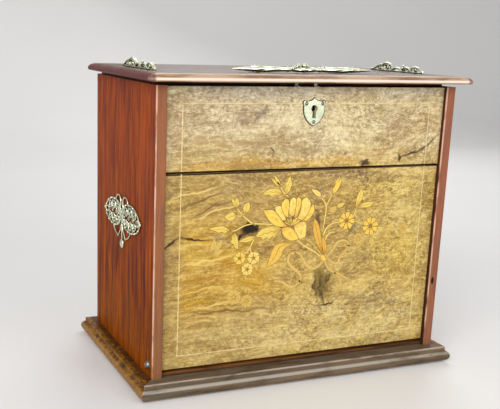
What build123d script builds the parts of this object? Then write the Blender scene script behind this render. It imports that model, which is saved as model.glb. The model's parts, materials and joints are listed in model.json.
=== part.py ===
"""Stationery cabinet: a walnut case with a lift-up lid, a fall front and brass mounts.

Frame: +X right, +Y back, +Z up, origin on the table under the middle of the plinth.
Heights given "above the plinth" start at the plinth's top face.
"""

import os
from math import asin, cos, radians, sin

from build123d import *

os.makedirs("parts", exist_ok=True)

# Case, in millimetres
CASE_W = 340.0  # over the side boards
CASE_D = 201.0
CASE_H = 292.0  # plinth top to lid underside
BOARD_T = 11.0
BACK_T = 8.0
FLOOR_T = 7.0
PANEL_SET_BACK = 5.0  # the front panels lie this far behind the stiles
FIT = 0.05  # radial clearance of a pin in its hole

# Plinth and lid mouldings
PLINTH_T = 18.0
PLINTH_OVER = 16.0
PLINTH_UNDER = 24.0  # width of each rail that lies under the case
LID_T = 11.4
LID_SEAT_T = 3.8  # raised middle of the underside, which rests on the case
LID_OVER_SIDE = 10.4
LID_OVER_FRONT = 14.2
LID_OVER_BACK = 2.6

# Fall front and fixed panel, heights above the plinth
BEAD_H = 4.2
FALL_BOTTOM = 5.1
FALL_TOP = 207.0
FALL_T = 12.0
PANEL_BOTTOM = 209.5
PANEL_TOP = 291.0
PIVOT_INSET = 5.5  # fall pivot behind the panel's face
PIVOT_RISE = 7.7  # and above its foot

# Inlay
STRING_X = 141.5
STRING_LOW = 20.0
STRING_HIGH = 275.4
STRING_W = 1.0
INLAY_DEPTH = 0.8

# Keyhole
KEY_Z = 269.6
KEY_R = 3.4
KEY_SLOT_W = 3.4
KEY_SLOT_DROP = 9.6

# Derived places
FRONT_Y = -CASE_D / 2
BACK_Y = CASE_D / 2
BASE_Z = PLINTH_T
TOP_Z = BASE_Z + CASE_H
LID_Z = TOP_Z + LID_T
INNER_X = CASE_W / 2 - BOARD_T
INNER_BACK_Y = BACK_Y - BACK_T
FACE_Y = FRONT_Y + PANEL_SET_BACK
PANEL_BACK_Y = FACE_Y + BOARD_T
FALL_BACK_Y = FACE_Y + FALL_T
PIVOT_Y = FACE_Y + PIVOT_INSET
PIVOT_Z = BASE_Z + FALL_BOTTOM + PIVOT_RISE
MID_FLOOR_Z = BASE_Z + PANEL_BOTTOM
UPPER_FLOOR_Z = MID_FLOOR_Z + FLOOR_T


def save(piece, name):
    """Label a finished piece and write it under its own name."""
    piece.part.label = name
    export_step(piece.part, f"parts/{name}.step")


def slab(x0, x1, y0, y1, z0, z1, mode=Mode.ADD):
    """Squared block between two corners, added to or cut from the piece in hand."""
    with BuildSketch(Plane.XY.offset(z0)) as foot:
        with Locations(((x0 + x1) / 2, (y0 + y1) / 2)):
            Rectangle(x1 - x0, y1 - y0)
    extrude(foot.sketch, amount=z1 - z0, mode=mode)


def rod(start, direction, radius, length, mode=Mode.ADD):
    """Round bar or hole from start along direction."""
    with BuildSketch(Plane(origin=start, z_dir=direction)) as end:
        Circle(radius)
    extrude(end.sketch, amount=length, mode=mode)


def disc(x, y, z, radius, height, mode=Mode.ADD):
    """Upright cylinder standing at z."""
    rod((x, y, z), (0, 0, 1), radius, height, mode)


def curved_bar(points, width):
    """Bar of even width, with round ends, along an arc through three points."""
    with BuildLine() as path:
        ThreePointArc(*points)
    SlotArc(path.edges()[0], width)


def dome_pin(start, out, head_r, head_h, shank_r, shank_l):
    """Round-headed brass pin: start lies on the surface, out points away from it."""
    seat = Plane(origin=start, z_dir=out)
    section = Plane(origin=start, x_dir=seat.x_dir, z_dir=-seat.y_dir)
    ball_r = (head_r**2 + head_h**2) / (2 * head_h)
    half = asin(head_r / ball_r) / 2
    middle = (ball_r * sin(half), head_h - ball_r * (1 - cos(half)))
    with BuildSketch(section) as half_section:
        with BuildLine():
            ThreePointArc((0, head_h), middle, (head_r, 0))
            Polyline((head_r, 0), (shank_r, 0), (shank_r, -shank_l), (0, -shank_l), (0, head_h))
        make_face()
    revolve(half_section.sketch, axis=Axis(start, out))


# Plinth: four mitred rails, a flat ledge over a short riser and a half-round nose
NOSE_R = 6.3
NOSE_Z = 7.4
PLINTH_LEDGE = 11.5  # flat top outside the case
LEDGE_EASE = 0.8
FOOT_REACH = 8.5


def plinth_rail(section, run, corners):
    """Run the profile along one side of the case and cut both ends to a mitre.

    In the section, x points outwards from the case and y is up.
    """
    nose_x = PLINTH_OVER - NOSE_R
    low = (nose_x, NOSE_Z - NOSE_R)
    meets = (PLINTH_LEDGE, NOSE_Z + (NOSE_R**2 - (PLINTH_LEDGE - nose_x) ** 2) ** 0.5)
    brow = (PLINTH_LEDGE, PLINTH_T - LEDGE_EASE)
    ledge = (PLINTH_LEDGE - LEDGE_EASE, PLINTH_T)
    with BuildSketch(section) as profile:
        with BuildLine():
            Polyline((-PLINTH_UNDER, PLINTH_T), (-PLINTH_UNDER, 0), (FOOT_REACH, 0), low)
            ThreePointArc(low, (PLINTH_OVER, NOSE_Z), meets)
            Line(meets, brow)
            RadiusArc(brow, ledge, -LEDGE_EASE)
            Line(ledge, (-PLINTH_UNDER, PLINTH_T))
        make_face()
    extrude(profile.sketch, amount=run, both=True)
    with BuildSketch(Plane.XY) as mitred:
        with BuildLine():
            Polyline(*corners, close=True)
        make_face()
    extrude(mitred.sketch, amount=PLINTH_T, mode=Mode.INTERSECT)


half_w = CASE_W / 2
out_x = half_w + PLINTH_OVER
out_y = BACK_Y + PLINTH_OVER
in_x = half_w - PLINTH_UNDER
in_y = BACK_Y - PLINTH_UNDER

with BuildPart() as plinth_front:
    section = Plane(origin=(0, FRONT_Y, 0), x_dir=(0, -1, 0), z_dir=(-1, 0, 0))
    plinth_rail(section, out_x, [(-out_x, -out_y), (out_x, -out_y), (in_x, -in_y), (-in_x, -in_y)])
save(plinth_front, "plinth_front")

with BuildPart() as plinth_back:
    section = Plane(origin=(0, BACK_Y, 0), x_dir=(0, 1, 0), z_dir=(1, 0, 0))
    plinth_rail(section, out_x, [(-out_x, out_y), (out_x, out_y), (in_x, in_y), (-in_x, in_y)])
save(plinth_back, "plinth_back")

with BuildPart() as plinth_left:
    section = Plane(origin=(-half_w, 0, 0), x_dir=(-1, 0, 0), z_dir=(0, 1, 0))
    plinth_rail(section, out_y, [(-out_x, -out_y), (-out_x, out_y), (-in_x, in_y), (-in_x, -in_y)])
save(plinth_left, "plinth_left")

with BuildPart() as plinth_right:
    section = Plane(origin=(half_w, 0, 0), x_dir=(1, 0, 0), z_dir=(0, -1, 0))
    plinth_rail(section, out_y, [(out_x, -out_y), (out_x, out_y), (in_x, in_y), (in_x, -in_y)])
save(plinth_right, "plinth_right")

# Bottom board with the rounded bead under the fall
BEAD_W = 8.0

with BuildPart() as base_bead:
    slab(-INNER_X, INNER_X, FACE_Y, FACE_Y + BEAD_W, BASE_Z, BASE_Z + BEAD_H)
    nose = base_bead.edges().filter_by(Axis.X).group_by(Axis.Y)[0]
    fillet(nose, BEAD_H * 0.48)
save(base_bead, "base_bead")

with BuildPart() as bottom_board:
    slab(-INNER_X, INNER_X, FACE_Y + BEAD_W, INNER_BACK_Y, BASE_Z, BASE_Z + BEAD_H)
save(bottom_board, "bottom_board")

# Side boards, whose front edges show as stiles beside the panels
PIN_R = 2.0
SIDE_EASE = 1.0
MOUNT_Z = BASE_Z + 150.0
MOUNT_PINS = [(-56.0, -1.0), (-11.0, -1.0), (11.0, -1.0), (56.0, -1.0)]
MOUNT_PIN_R = 0.7
MOUNT_PIN_L = 7.0

for side_name, x0 in {"left": -half_w, "right": INNER_X}.items():
    with BuildPart() as side_board:
        slab(x0, x0 + BOARD_T, FRONT_Y, BACK_Y, BASE_Z, TOP_Z)
        fillet(side_board.edges().filter_by(Axis.Z).group_by(Axis.Y)[0], SIDE_EASE)
        rod((x0, PIVOT_Y, PIVOT_Z), (1, 0, 0), PIN_R + FIT, BOARD_T, Mode.SUBTRACT)
        side = -1 if x0 < 0 else 1
        for u, v in MOUNT_PINS:
            hole = (side * half_w, u, MOUNT_Z + v)
            rod(hole, (-side, 0, 0), MOUNT_PIN_R + FIT, MOUNT_PIN_L, Mode.SUBTRACT)
    save(side_board, f"side_{side_name}")

# Butt hinges between the back board and the lid, each with a lug that stops the lid
HINGE_X = 105.0
HINGE_L = 42.0
KNUCKLE_R = 2.6
KNUCKLE_GAP = 0.3
HINGE_PIN_R = 1.1
LEAF_T = 1.3
LEAF_W = 7.5
HINGE_Y = BACK_Y + 3.5
HINGE_Z = TOP_Z
STOP_DROP = 4.2  # top of the stop ledge below the hinge pin
LEDGE_T = 2.0
LEDGE_REACH = 5.2  # behind the hinge pin
FLANGE_DROP = 7.2  # foot of the case leaf's flange below the hinge pin
STOP_LUG_L = 5.2
STOP_LUG_T = 1.8
CASE_SCREW_L = 11.0
LID_SCREW_L = 8.0
HINGE_SCREW_X = 14.0
SCREW_R = 1.0
SCREW_HEAD_R = 1.9

knuckle_l = (HINGE_L - 2 * KNUCKLE_GAP) / 3
middle_knuckle = knuckle_l / 2
leaf_y = BACK_Y - LEAF_W

with BuildPart() as back_board:
    slab(-INNER_X, INNER_X, INNER_BACK_Y, BACK_Y, BASE_Z, TOP_Z)
    for x in (-HINGE_X, HINGE_X):
        slab(
            x - HINGE_L / 2, x + HINGE_L / 2, leaf_y, BACK_Y, TOP_Z - LEAF_T, TOP_Z, Mode.SUBTRACT
        )
        for step in (-HINGE_SCREW_X, HINGE_SCREW_X):
            hole = (x + step, leaf_y + LEAF_W / 2, TOP_Z)
            rod(hole, (0, 0, -1), SCREW_R + FIT, CASE_SCREW_L + 1, Mode.SUBTRACT)
save(back_board, "back_board")

with BuildPart() as hinge_case_leaves:
    for x in (-HINGE_X, HINGE_X):
        slab(x - HINGE_L / 2, x + HINGE_L / 2, leaf_y, BACK_Y, TOP_Z - LEAF_T, TOP_Z)
        slab(
            x - HINGE_L / 2, x + HINGE_L / 2, BACK_Y, BACK_Y + LEAF_T, HINGE_Z - FLANGE_DROP, TOP_Z
        )
        for side in (-1, 1):
            inner = x + side * (middle_knuckle + KNUCKLE_GAP)
            rod((inner, HINGE_Y, HINGE_Z), (side, 0, 0), KNUCKLE_R, knuckle_l)
            slab(
                min(inner, inner + side * knuckle_l),
                max(inner, inner + side * knuckle_l),
                BACK_Y,
                HINGE_Y,
                HINGE_Z - KNUCKLE_R,
                HINGE_Z - 0.1,
            )
        gap = middle_knuckle + KNUCKLE_GAP
        clear = KNUCKLE_R + 0.6
        slab(x - gap, x + gap, BACK_Y, HINGE_Y, HINGE_Z - clear, TOP_Z + clear, Mode.SUBTRACT)
        ledge = middle_knuckle - 0.5
        ledge_z = HINGE_Z - STOP_DROP
        slab(x - ledge, x + ledge, BACK_Y, HINGE_Y + LEDGE_REACH, ledge_z - LEDGE_T, ledge_z)
        rod((x - HINGE_L, HINGE_Y, HINGE_Z), (1, 0, 0), HINGE_PIN_R + FIT, 2 * HINGE_L, Mode.SUBTRACT)
        for step in (-HINGE_SCREW_X, HINGE_SCREW_X):
            hole = (x + step, leaf_y + LEAF_W / 2, TOP_Z)
            rod(hole, (0, 0, -1), SCREW_R + FIT, 4, Mode.SUBTRACT)
save(hinge_case_leaves, "hinge_case_leaves")

with BuildPart() as hinge_pins:
    for x in (-HINGE_X, HINGE_X):
        rod((x - HINGE_L / 2 - 0.6, HINGE_Y, HINGE_Z), (1, 0, 0), HINGE_PIN_R, HINGE_L + 1.2)
save(hinge_pins, "hinge_pins")

with BuildPart() as hinge_case_screws:
    for x in (-HINGE_X, HINGE_X):
        for step in (-HINGE_SCREW_X, HINGE_SCREW_X):
            rod((x + step, leaf_y + LEAF_W / 2, TOP_Z - 0.1), (0, 0, -1), SCREW_R, CASE_SCREW_L)
save(hinge_case_screws, "hinge_case_screws")

LID_STOP_ANGLE = 60.0  # direction of the lug above the horizontal, lid shut

with BuildPart() as hinge_lid_leaves:
    for x in (-HINGE_X, HINGE_X):
        slab(x - HINGE_L / 2, x + HINGE_L / 2, leaf_y, BACK_Y + 0.5, TOP_Z, TOP_Z + LEAF_T)
        slab(x - middle_knuckle, x + middle_knuckle, BACK_Y, HINGE_Y, TOP_Z, TOP_Z + LEAF_T)
        rod((x - middle_knuckle, HINGE_Y, HINGE_Z), (1, 0, 0), KNUCKLE_R, 2 * middle_knuckle)
        lug = Plane(
            origin=(x - middle_knuckle + 1, HINGE_Y, HINGE_Z),
            x_dir=(0, cos(radians(LID_STOP_ANGLE)), sin(radians(LID_STOP_ANGLE))),
            z_dir=(1, 0, 0),
        )
        with BuildSketch(lug):
            with Locations((STOP_LUG_L / 2, 0)):
                Rectangle(STOP_LUG_L, STOP_LUG_T)
        extrude(amount=2 * middle_knuckle - 2)
        rod((x - HINGE_L, HINGE_Y, HINGE_Z), (1, 0, 0), HINGE_PIN_R + FIT, 2 * HINGE_L, Mode.SUBTRACT)
        for step in (-HINGE_SCREW_X, HINGE_SCREW_X):
            hole = (x + step, leaf_y + LEAF_W / 2, TOP_Z)
            rod(hole, (0, 0, 1), SCREW_R + FIT, 4, Mode.SUBTRACT)
save(hinge_lid_leaves, "hinge_lid_leaves")

with BuildPart() as hinge_lid_screws:
    for x in (-HINGE_X, HINGE_X):
        for step in (-HINGE_SCREW_X, HINGE_SCREW_X):
            rod((x + step, leaf_y + LEAF_W / 2, TOP_Z + 0.1), (0, 0, 1), SCREW_R, LID_SCREW_L)
save(hinge_lid_screws, "hinge_lid_screws")

# Lock set into the back of the fixed panel
LOCK_HALF = 24.0  # mortise
LOCK_DEPTH = 8.0
LOCK_LOW = BASE_Z + 250.0
PLATE_HALF = 28.0
PLATE_T = 1.4
PLATE_LOW = LOCK_LOW - 4.0
CASE_WALL = 1.0
HOOK_X = (-20.0, 2.0)
HOOK_Y = PANEL_BACK_Y - 4.5
HOOK_T = 2.0
HOOK_STEM = 3.5
HOOK_TOE = 7.5
HOOK_LOW = 299.0
TOE_H = 2.5
BOLT_THROW = 5.0
FINGER_LOW = HOOK_LOW + TOE_H + 0.5
FINGER_H = 2.6
FINGER_W = 3.0
BAR_LEFT = -16.0
BAR_RIGHT = 18.0
BAR_LOW = 294.0
BAR_H = 4.4
TALON_R = 2.6  # notch that the key turns in
SPRING_HALF = 14.0
SPRING_FOOT = 2.0
SPRING_GAP = 0.25
SPRING_T = 0.45
SPRING_H = 2.4
SELVEDGE_Y = FACE_Y + 1.0
PANEL_Z = BASE_Z + PANEL_TOP
KEYHOLE_Z = BASE_Z + KEY_Z
LOCK_SCREWS = [(x, z) for x in (-26.0, 26.0) for z in (272.0, 300.0)]


def keyhole(y0, depth, grow=0.0):
    """Cut a keyhole backwards from y0: a round eye over a straight slot."""
    face = Plane(origin=(0, y0, KEYHOLE_Z), x_dir=(1, 0, 0), z_dir=(0, -1, 0))
    with BuildSketch(face) as eye_and_slot:
        Circle(KEY_R + grow)
        with Locations((0, -KEY_SLOT_DROP / 2)):
            Rectangle(KEY_SLOT_W + 2 * grow, KEY_SLOT_DROP)
    extrude(eye_and_slot.sketch, amount=-depth, mode=Mode.SUBTRACT)


# Flush bolt at the back of the fixed panel that holds the fall shut
FLUSH_X = 95.0
FLUSH_Y = PANEL_BACK_Y - 2.0
FLUSH_R = 1.5
FLUSH_TRAVEL = 8.0
GROOVE_R = 2.2
GROOVE_TOP = BASE_Z + 246.0
GUIDE_HALF_W = 8.0
GUIDE_T = 1.4
GUIDE_LOW = UPPER_FLOOR_Z + 0.5
GUIDE_HIGH = BASE_Z + 252.0
FLUSH_KNOB_Z = BASE_Z + 236.0
FLUSH_KNOB_R = 2.6
FLUSH_STEM_R = 1.1
FLUSH_STEM_L = 8.4
GUIDE_SCREWS = [(FLUSH_X + dx, z) for dx in (-5.4, 5.4) for z in (GUIDE_LOW + 4, GUIDE_HIGH - 4)]


def string_lines(z_cross, z_end, mode=Mode.ADD):
    """Boxwood line: two uprights and one cross line, let in flush with the face."""
    low, high = min(z_cross, z_end), max(z_cross, z_end)
    half = STRING_W / 2
    y1 = FACE_Y + STRING_W
    for x in (-STRING_X, STRING_X):
        slab(x - half, x + half, FACE_Y, y1, low, high, mode)
    z0 = z_cross if z_cross < z_end else z_cross - STRING_W
    slab(-STRING_X - half, STRING_X + half, FACE_Y, y1, z0, z0 + STRING_W, mode)


PANEL_HALF = INNER_X - 0.2

with BuildPart() as upper_front_panel:
    slab(-PANEL_HALF, PANEL_HALF, FACE_Y, PANEL_BACK_Y, MID_FLOOR_Z, PANEL_Z)
    string_lines(BASE_Z + STRING_HIGH, MID_FLOOR_Z, Mode.SUBTRACT)
    keyhole(FACE_Y, BOARD_T)
    slab(
        -LOCK_HALF, LOCK_HALF, PANEL_BACK_Y - LOCK_DEPTH, PANEL_BACK_Y, LOCK_LOW, PANEL_Z,
        Mode.SUBTRACT,
    )
    slab(
        -PLATE_HALF, PLATE_HALF, PANEL_BACK_Y - PLATE_T, PANEL_BACK_Y, PLATE_LOW, PANEL_Z,
        Mode.SUBTRACT,
    )
    slab(
        -PLATE_HALF, PLATE_HALF, SELVEDGE_Y, PANEL_BACK_Y, PANEL_Z - PLATE_T, PANEL_Z, Mode.SUBTRACT
    )
    for x, z in LOCK_SCREWS:
        rod((x, PANEL_BACK_Y, z), (0, -1, 0), SCREW_R + FIT, 8, Mode.SUBTRACT)
    rod((FLUSH_X, FLUSH_Y, MID_FLOOR_Z), (0, 0, 1), GROOVE_R, GROOVE_TOP - MID_FLOOR_Z, Mode.SUBTRACT)
    slab(
        FLUSH_X - GROOVE_R, FLUSH_X + GROOVE_R, FLUSH_Y, PANEL_BACK_Y, MID_FLOOR_Z, GROOVE_TOP,
        Mode.SUBTRACT,
    )
    for x, z in GUIDE_SCREWS:
        rod((x, PANEL_BACK_Y, z), (0, -1, 0), SCREW_R + FIT, 6, Mode.SUBTRACT)
save(upper_front_panel, "upper_front_panel")

with BuildPart() as stringing_upper:
    string_lines(BASE_Z + STRING_HIGH, MID_FLOOR_Z)
save(stringing_upper, "stringing_upper")

with BuildPart() as mid_floor:
    slab(-INNER_X, INNER_X, PANEL_BACK_Y, INNER_BACK_Y, MID_FLOOR_Z, UPPER_FLOOR_Z)
    slab(
        FLUSH_X - GROOVE_R, FLUSH_X + GROOVE_R, PANEL_BACK_Y, PANEL_BACK_Y + 0.5, MID_FLOOR_Z,
        UPPER_FLOOR_Z, Mode.SUBTRACT,
    )
save(mid_floor, "mid_floor")

# Lock pieces
case_front_y = PANEL_BACK_Y - LOCK_DEPTH + 0.2
case_back_y = PANEL_BACK_Y - PLATE_T
case_top = PANEL_Z - PLATE_T
case_half = LOCK_HALF - 0.2

with BuildPart() as lock_case:
    slab(-case_half, case_half, case_front_y, case_back_y, LOCK_LOW + 0.2, case_top)
    slab(
        CASE_WALL - case_half,
        case_half - CASE_WALL,
        case_front_y + CASE_WALL,
        case_back_y,
        LOCK_LOW + 0.2 + CASE_WALL,
        case_top,
        Mode.SUBTRACT,
    )
    keyhole(case_front_y, CASE_WALL)
save(lock_case, "lock_case")

with BuildPart() as lock_plate:
    slab(-PLATE_HALF, PLATE_HALF, case_back_y, PANEL_BACK_Y, PLATE_LOW, PANEL_Z)
    slab(-PLATE_HALF, PLATE_HALF, SELVEDGE_Y, PANEL_BACK_Y, case_top, PANEL_Z)
    for x in HOOK_X:
        slab(
            x - 0.8, x + HOOK_TOE + 0.8, HOOK_Y - HOOK_T, HOOK_Y + HOOK_T, case_top, PANEL_Z,
            Mode.SUBTRACT,
        )
    for x, z in LOCK_SCREWS:
        rod((x, PANEL_BACK_Y, z), (0, -1, 0), SCREW_R + FIT, PLATE_T, Mode.SUBTRACT)
save(lock_plate, "lock_plate")

with BuildPart() as drill_pin:
    rod((0, case_back_y, KEYHOLE_Z), (0, -1, 0), 1.1, LOCK_DEPTH - PLATE_T - 1.5)
save(drill_pin, "drill_pin")

with BuildPart() as lock_bolt:
    y0, y1 = HOOK_Y - HOOK_T / 2, HOOK_Y + HOOK_T / 2
    slab(BAR_LEFT, BAR_RIGHT, y0, y1, BAR_LOW, BAR_LOW + BAR_H)
    for x in HOOK_X:
        riser = x + HOOK_TOE + BOLT_THROW + 0.5
        slab(riser, riser + FINGER_W, y0, y1, BAR_LOW, FINGER_LOW + FINGER_H)
        slab(riser - HOOK_STEM - 0.5, riser + FINGER_W, y0, y1, FINGER_LOW, FINGER_LOW + FINGER_H)
    with BuildSketch(Plane(origin=(2, y0, BAR_LOW), x_dir=(1, 0, 0), z_dir=(0, -1, 0))):
        Circle(TALON_R)
    extrude(amount=-HOOK_T, mode=Mode.SUBTRACT)
save(lock_bolt, "lock_bolt")

with BuildPart() as lock_spring:
    bow = HOOK_Y + HOOK_T / 2 + SPRING_GAP
    foot_y = case_back_y - 0.1
    inner = SPRING_HALF - SPRING_FOOT
    with BuildSketch(Plane.XY.offset(BAR_LOW + 1)):
        with BuildLine():
            ThreePointArc((-SPRING_HALF, foot_y), (0, bow), (SPRING_HALF, foot_y))
            Polyline((SPRING_HALF, foot_y), (SPRING_HALF, case_back_y), (inner, case_back_y))
            ThreePointArc((inner, case_back_y), (0, bow + SPRING_T), (-inner, case_back_y))
            Polyline((-inner, case_back_y), (-SPRING_HALF, case_back_y), (-SPRING_HALF, foot_y))
        make_face()
    extrude(amount=SPRING_H)
save(lock_spring, "lock_spring")

with BuildPart() as lock_screws:
    for x, z in LOCK_SCREWS:
        dome_pin((x, PANEL_BACK_Y, z), (0, 1, 0), SCREW_HEAD_R, 0.7, SCREW_R, 7.5)
save(lock_screws, "lock_screws")

# Shield escutcheon, heights measured from the keyhole's eye
ESC_T = 1.5
ESC_HALF = 12.5
ESC_TOP = 10.6
ESC_EAR = 6.2
ESC_BOTTOM = -17.0
ESC_PINS = [(-9.3, 5.0), (9.3, 5.0), (0.0, -13.4)]

with BuildPart() as escutcheon:
    face = Plane(origin=(0, FACE_Y, KEYHOLE_Z), x_dir=(1, 0, 0), z_dir=(0, -1, 0))
    with BuildSketch(face):
        with BuildLine() as right_edge:
            ThreePointArc((0, ESC_TOP), (5.4, ESC_EAR + 1.2), (ESC_HALF - 1.6, ESC_EAR + 1.4))
            ThreePointArc(
                (ESC_HALF - 1.6, ESC_EAR + 1.4),
                (ESC_HALF, ESC_EAR - 0.6),
                (ESC_HALF - 1.0, ESC_EAR - 3.0),
            )
            ThreePointArc(
                (ESC_HALF - 1.0, ESC_EAR - 3.0),
                (ESC_HALF - 3.0, -8.6),
                (0, ESC_BOTTOM),
            )
            mirror(about=Plane.YZ)
        make_face()
    extrude(amount=ESC_T)
    fillet(escutcheon.faces().sort_by(Axis.Y)[0].outer_wire().edges(), 0.5)
    keyhole(FACE_Y - ESC_T, ESC_T, 0.2)
    for x, z in ESC_PINS:
        rod((x, FACE_Y, KEYHOLE_Z + z), (0, -1, 0), 0.8 + FIT, ESC_T, Mode.SUBTRACT)
save(escutcheon, "escutcheon")

with BuildPart() as escutcheon_pins:
    for x, z in ESC_PINS:
        dome_pin((x, FACE_Y - ESC_T, KEYHOLE_Z + z), (0, -1, 0), 2.0, 1.1, 0.8, ESC_T)
save(escutcheon_pins, "escutcheon_pins")

# Flush bolt pieces
with BuildPart() as flush_bolt_guide:
    slab(
        FLUSH_X - GUIDE_HALF_W,
        FLUSH_X + GUIDE_HALF_W,
        PANEL_BACK_Y,
        PANEL_BACK_Y + GUIDE_T,
        GUIDE_LOW,
        GUIDE_HIGH,
    )
    slab(
        FLUSH_X - FLUSH_STEM_R - 0.3,
        FLUSH_X + FLUSH_STEM_R + 0.3,
        PANEL_BACK_Y,
        PANEL_BACK_Y + GUIDE_T,
        FLUSH_KNOB_Z - FLUSH_TRAVEL - FLUSH_STEM_R - 0.5,
        FLUSH_KNOB_Z + FLUSH_STEM_R + 0.5,
        Mode.SUBTRACT,
    )
    for x, z in GUIDE_SCREWS:
        rod((x, PANEL_BACK_Y, z), (0, 1, 0), SCREW_R + FIT, GUIDE_T, Mode.SUBTRACT)
save(flush_bolt_guide, "flush_bolt_guide")

with BuildPart() as flush_bolt_screws:
    for x, z in GUIDE_SCREWS:
        dome_pin((x, PANEL_BACK_Y + GUIDE_T, z), (0, 1, 0), SCREW_HEAD_R, 0.7, SCREW_R, 7)
save(flush_bolt_screws, "flush_bolt_screws")

with BuildPart() as flush_bolt:
    rod((FLUSH_X, FLUSH_Y, MID_FLOOR_Z + 0.3), (0, 0, 1), FLUSH_R, GROOVE_TOP - MID_FLOOR_Z - 1.5)
    rod((FLUSH_X, FLUSH_Y, FLUSH_KNOB_Z), (0, 1, 0), FLUSH_STEM_R, FLUSH_STEM_L)
    with Locations((FLUSH_X, FLUSH_Y + FLUSH_STEM_L, FLUSH_KNOB_Z)):
        Sphere(FLUSH_KNOB_R)
save(flush_bolt, "flush_bolt")

# Marquetry spray on the fall: x across, z above the plinth, then sizes
PETALS = [
    ((-18, 152), (-51, 168), 11),
    ((-18, 152), (-38, 174), 12),
    ((-17, 152), (-26, 179), 12),
    ((-16, 152), (-12, 181), 12),
    ((-15, 152), (1, 180), 12),
    ((-14, 151), (8, 168), 13),
    ((-20, 150), (-9, 133), 13),
    ((-6, 152), (-6, 134), 14),
]
LEAVES = [
    ((-27, 150), (-57, 137), 13),
    ((-28, 150), (-8, 134), 11),
    ((-12, 132), (-45, 107), 13),
    ((22, 118), (8, 156), 9),
    ((21, 118), (25, 140), 6),
    ((-26, 181), (-53, 184), 9),
    ((-26, 181), (-22, 202), 8),
    ((-30, 188), (-45, 205), 4),
    ((-87, 149), (-112, 152), 8),
    ((-82, 146), (-77, 127), 8),
    ((-59, 141), (-77, 135), 5),
    ((-78, 168), (-89, 184), 6),
    ((-68, 160), (-71, 174), 6),
    ((-80, 170), (-92, 163), 8),
    ((22, 170), (5, 186), 6),
    ((27, 178), (38, 199), 6),
    ((32, 167), (46, 171), 6),
    ((58, 164), (62, 187), 7),
    ((59, 164), (82, 170), 7),
    ((80, 134), (83, 120), 5),
    ((97, 141), (108, 141), 7),
]
BLOSSOMS = [(-76, 118, 7), (-60, 119, 7), (-67, 106, 6), (47, 150, 9), (78, 144, 9.5)]
STEMS = [
    ((-11, 135), (6, 127), (23, 114)),
    ((-1, 136), (12, 125), (24, 113)),
    ((-38, 153), (-58, 155), (-78, 169)),
    ((-45, 153), (-68, 155), (-88, 148)),
    ((-50, 140), (-60, 134), (-66, 124)),
    ((-26, 181), (-30, 187), (-35, 193)),
    ((19, 146), (21, 160), (23, 176)),
    ((23, 118), (26, 140), (40, 149)),
    ((24, 116), (28, 132), (36, 141)),
    ((52, 157), (56, 161), (59, 166)),
]
RIBBONS = [
    ((23, 113), (9, 101), (-4, 115)),
    ((-4, 115), (-13, 121), (-19, 111)),
    ((-19, 111), (-12, 99), (-3, 90)),
    ((-3, 90), (-12, 82), (-38, 91)),
    ((25, 114), (38, 131), (53, 126)),
    ((53, 126), (50, 112), (41, 105)),
    ((41, 105), (33, 107), (29, 113)),
    ((26, 109), (38, 94), (56, 86)),
    ((36, 95), (46, 88), (43, 74)),
]
STEM_W = 1.6
RIBBON_W = 3.2


def spray_leaf(base, tip, width):
    """Pointed leaf or petal between two points, as two arcs."""
    (x0, z0), (x1, z1) = base, tip
    middle_x, middle_z = (x0 + x1) / 2, (z0 + z1) / 2
    length = ((x1 - x0) ** 2 + (z1 - z0) ** 2) ** 0.5
    side_x, side_z = (z0 - z1) / length * width / 2, (x1 - x0) / length * width / 2
    with BuildLine() as edge:
        ThreePointArc(base, (middle_x + side_x, middle_z + side_z), tip)
        ThreePointArc(tip, (middle_x - side_x, middle_z - side_z), base)
    make_face(edge.edges())


def spray_blossom(x, z, radius):
    """Five round petals about a middle."""
    with Locations((x, z)):
        Circle(radius * 0.34)
        with PolarLocations(radius * 0.6, 5, 18):
            Circle(radius * 0.42)


with BuildPart() as marquetry_spray:
    with BuildSketch(Plane(origin=(0, FACE_Y, BASE_Z), x_dir=(1, 0, 0), z_dir=(0, -1, 0))):
        for base, tip, width in PETALS + LEAVES:
            spray_leaf(base, tip, width)
        for x, z, radius in BLOSSOMS:
            spray_blossom(x, z, radius)
        for points in STEMS:
            curved_bar(points, STEM_W)
        for points in RIBBONS:
            curved_bar(points, RIBBON_W)
    extrude(amount=-INLAY_DEPTH)
save(marquetry_spray, "marquetry_spray")

# Fall front: rounded foot about its pivot, leather inside, brass strike on its top edge
FALL_HALF = INNER_X - 0.8
LEATHER_HALF = 138.0
LEATHER_LOW = BASE_Z + 27.0
LEATHER_HIGH = BASE_Z + 192.0
LEATHER_T = 1.0
STRIKE_HALF = 7.0
STRIKE_T = 1.0
STRIKE_Y = FALL_BACK_Y - 7.0
PIN_REACH = 14.0
fall_z0 = BASE_Z + FALL_BOTTOM
fall_z1 = BASE_Z + FALL_TOP

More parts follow.
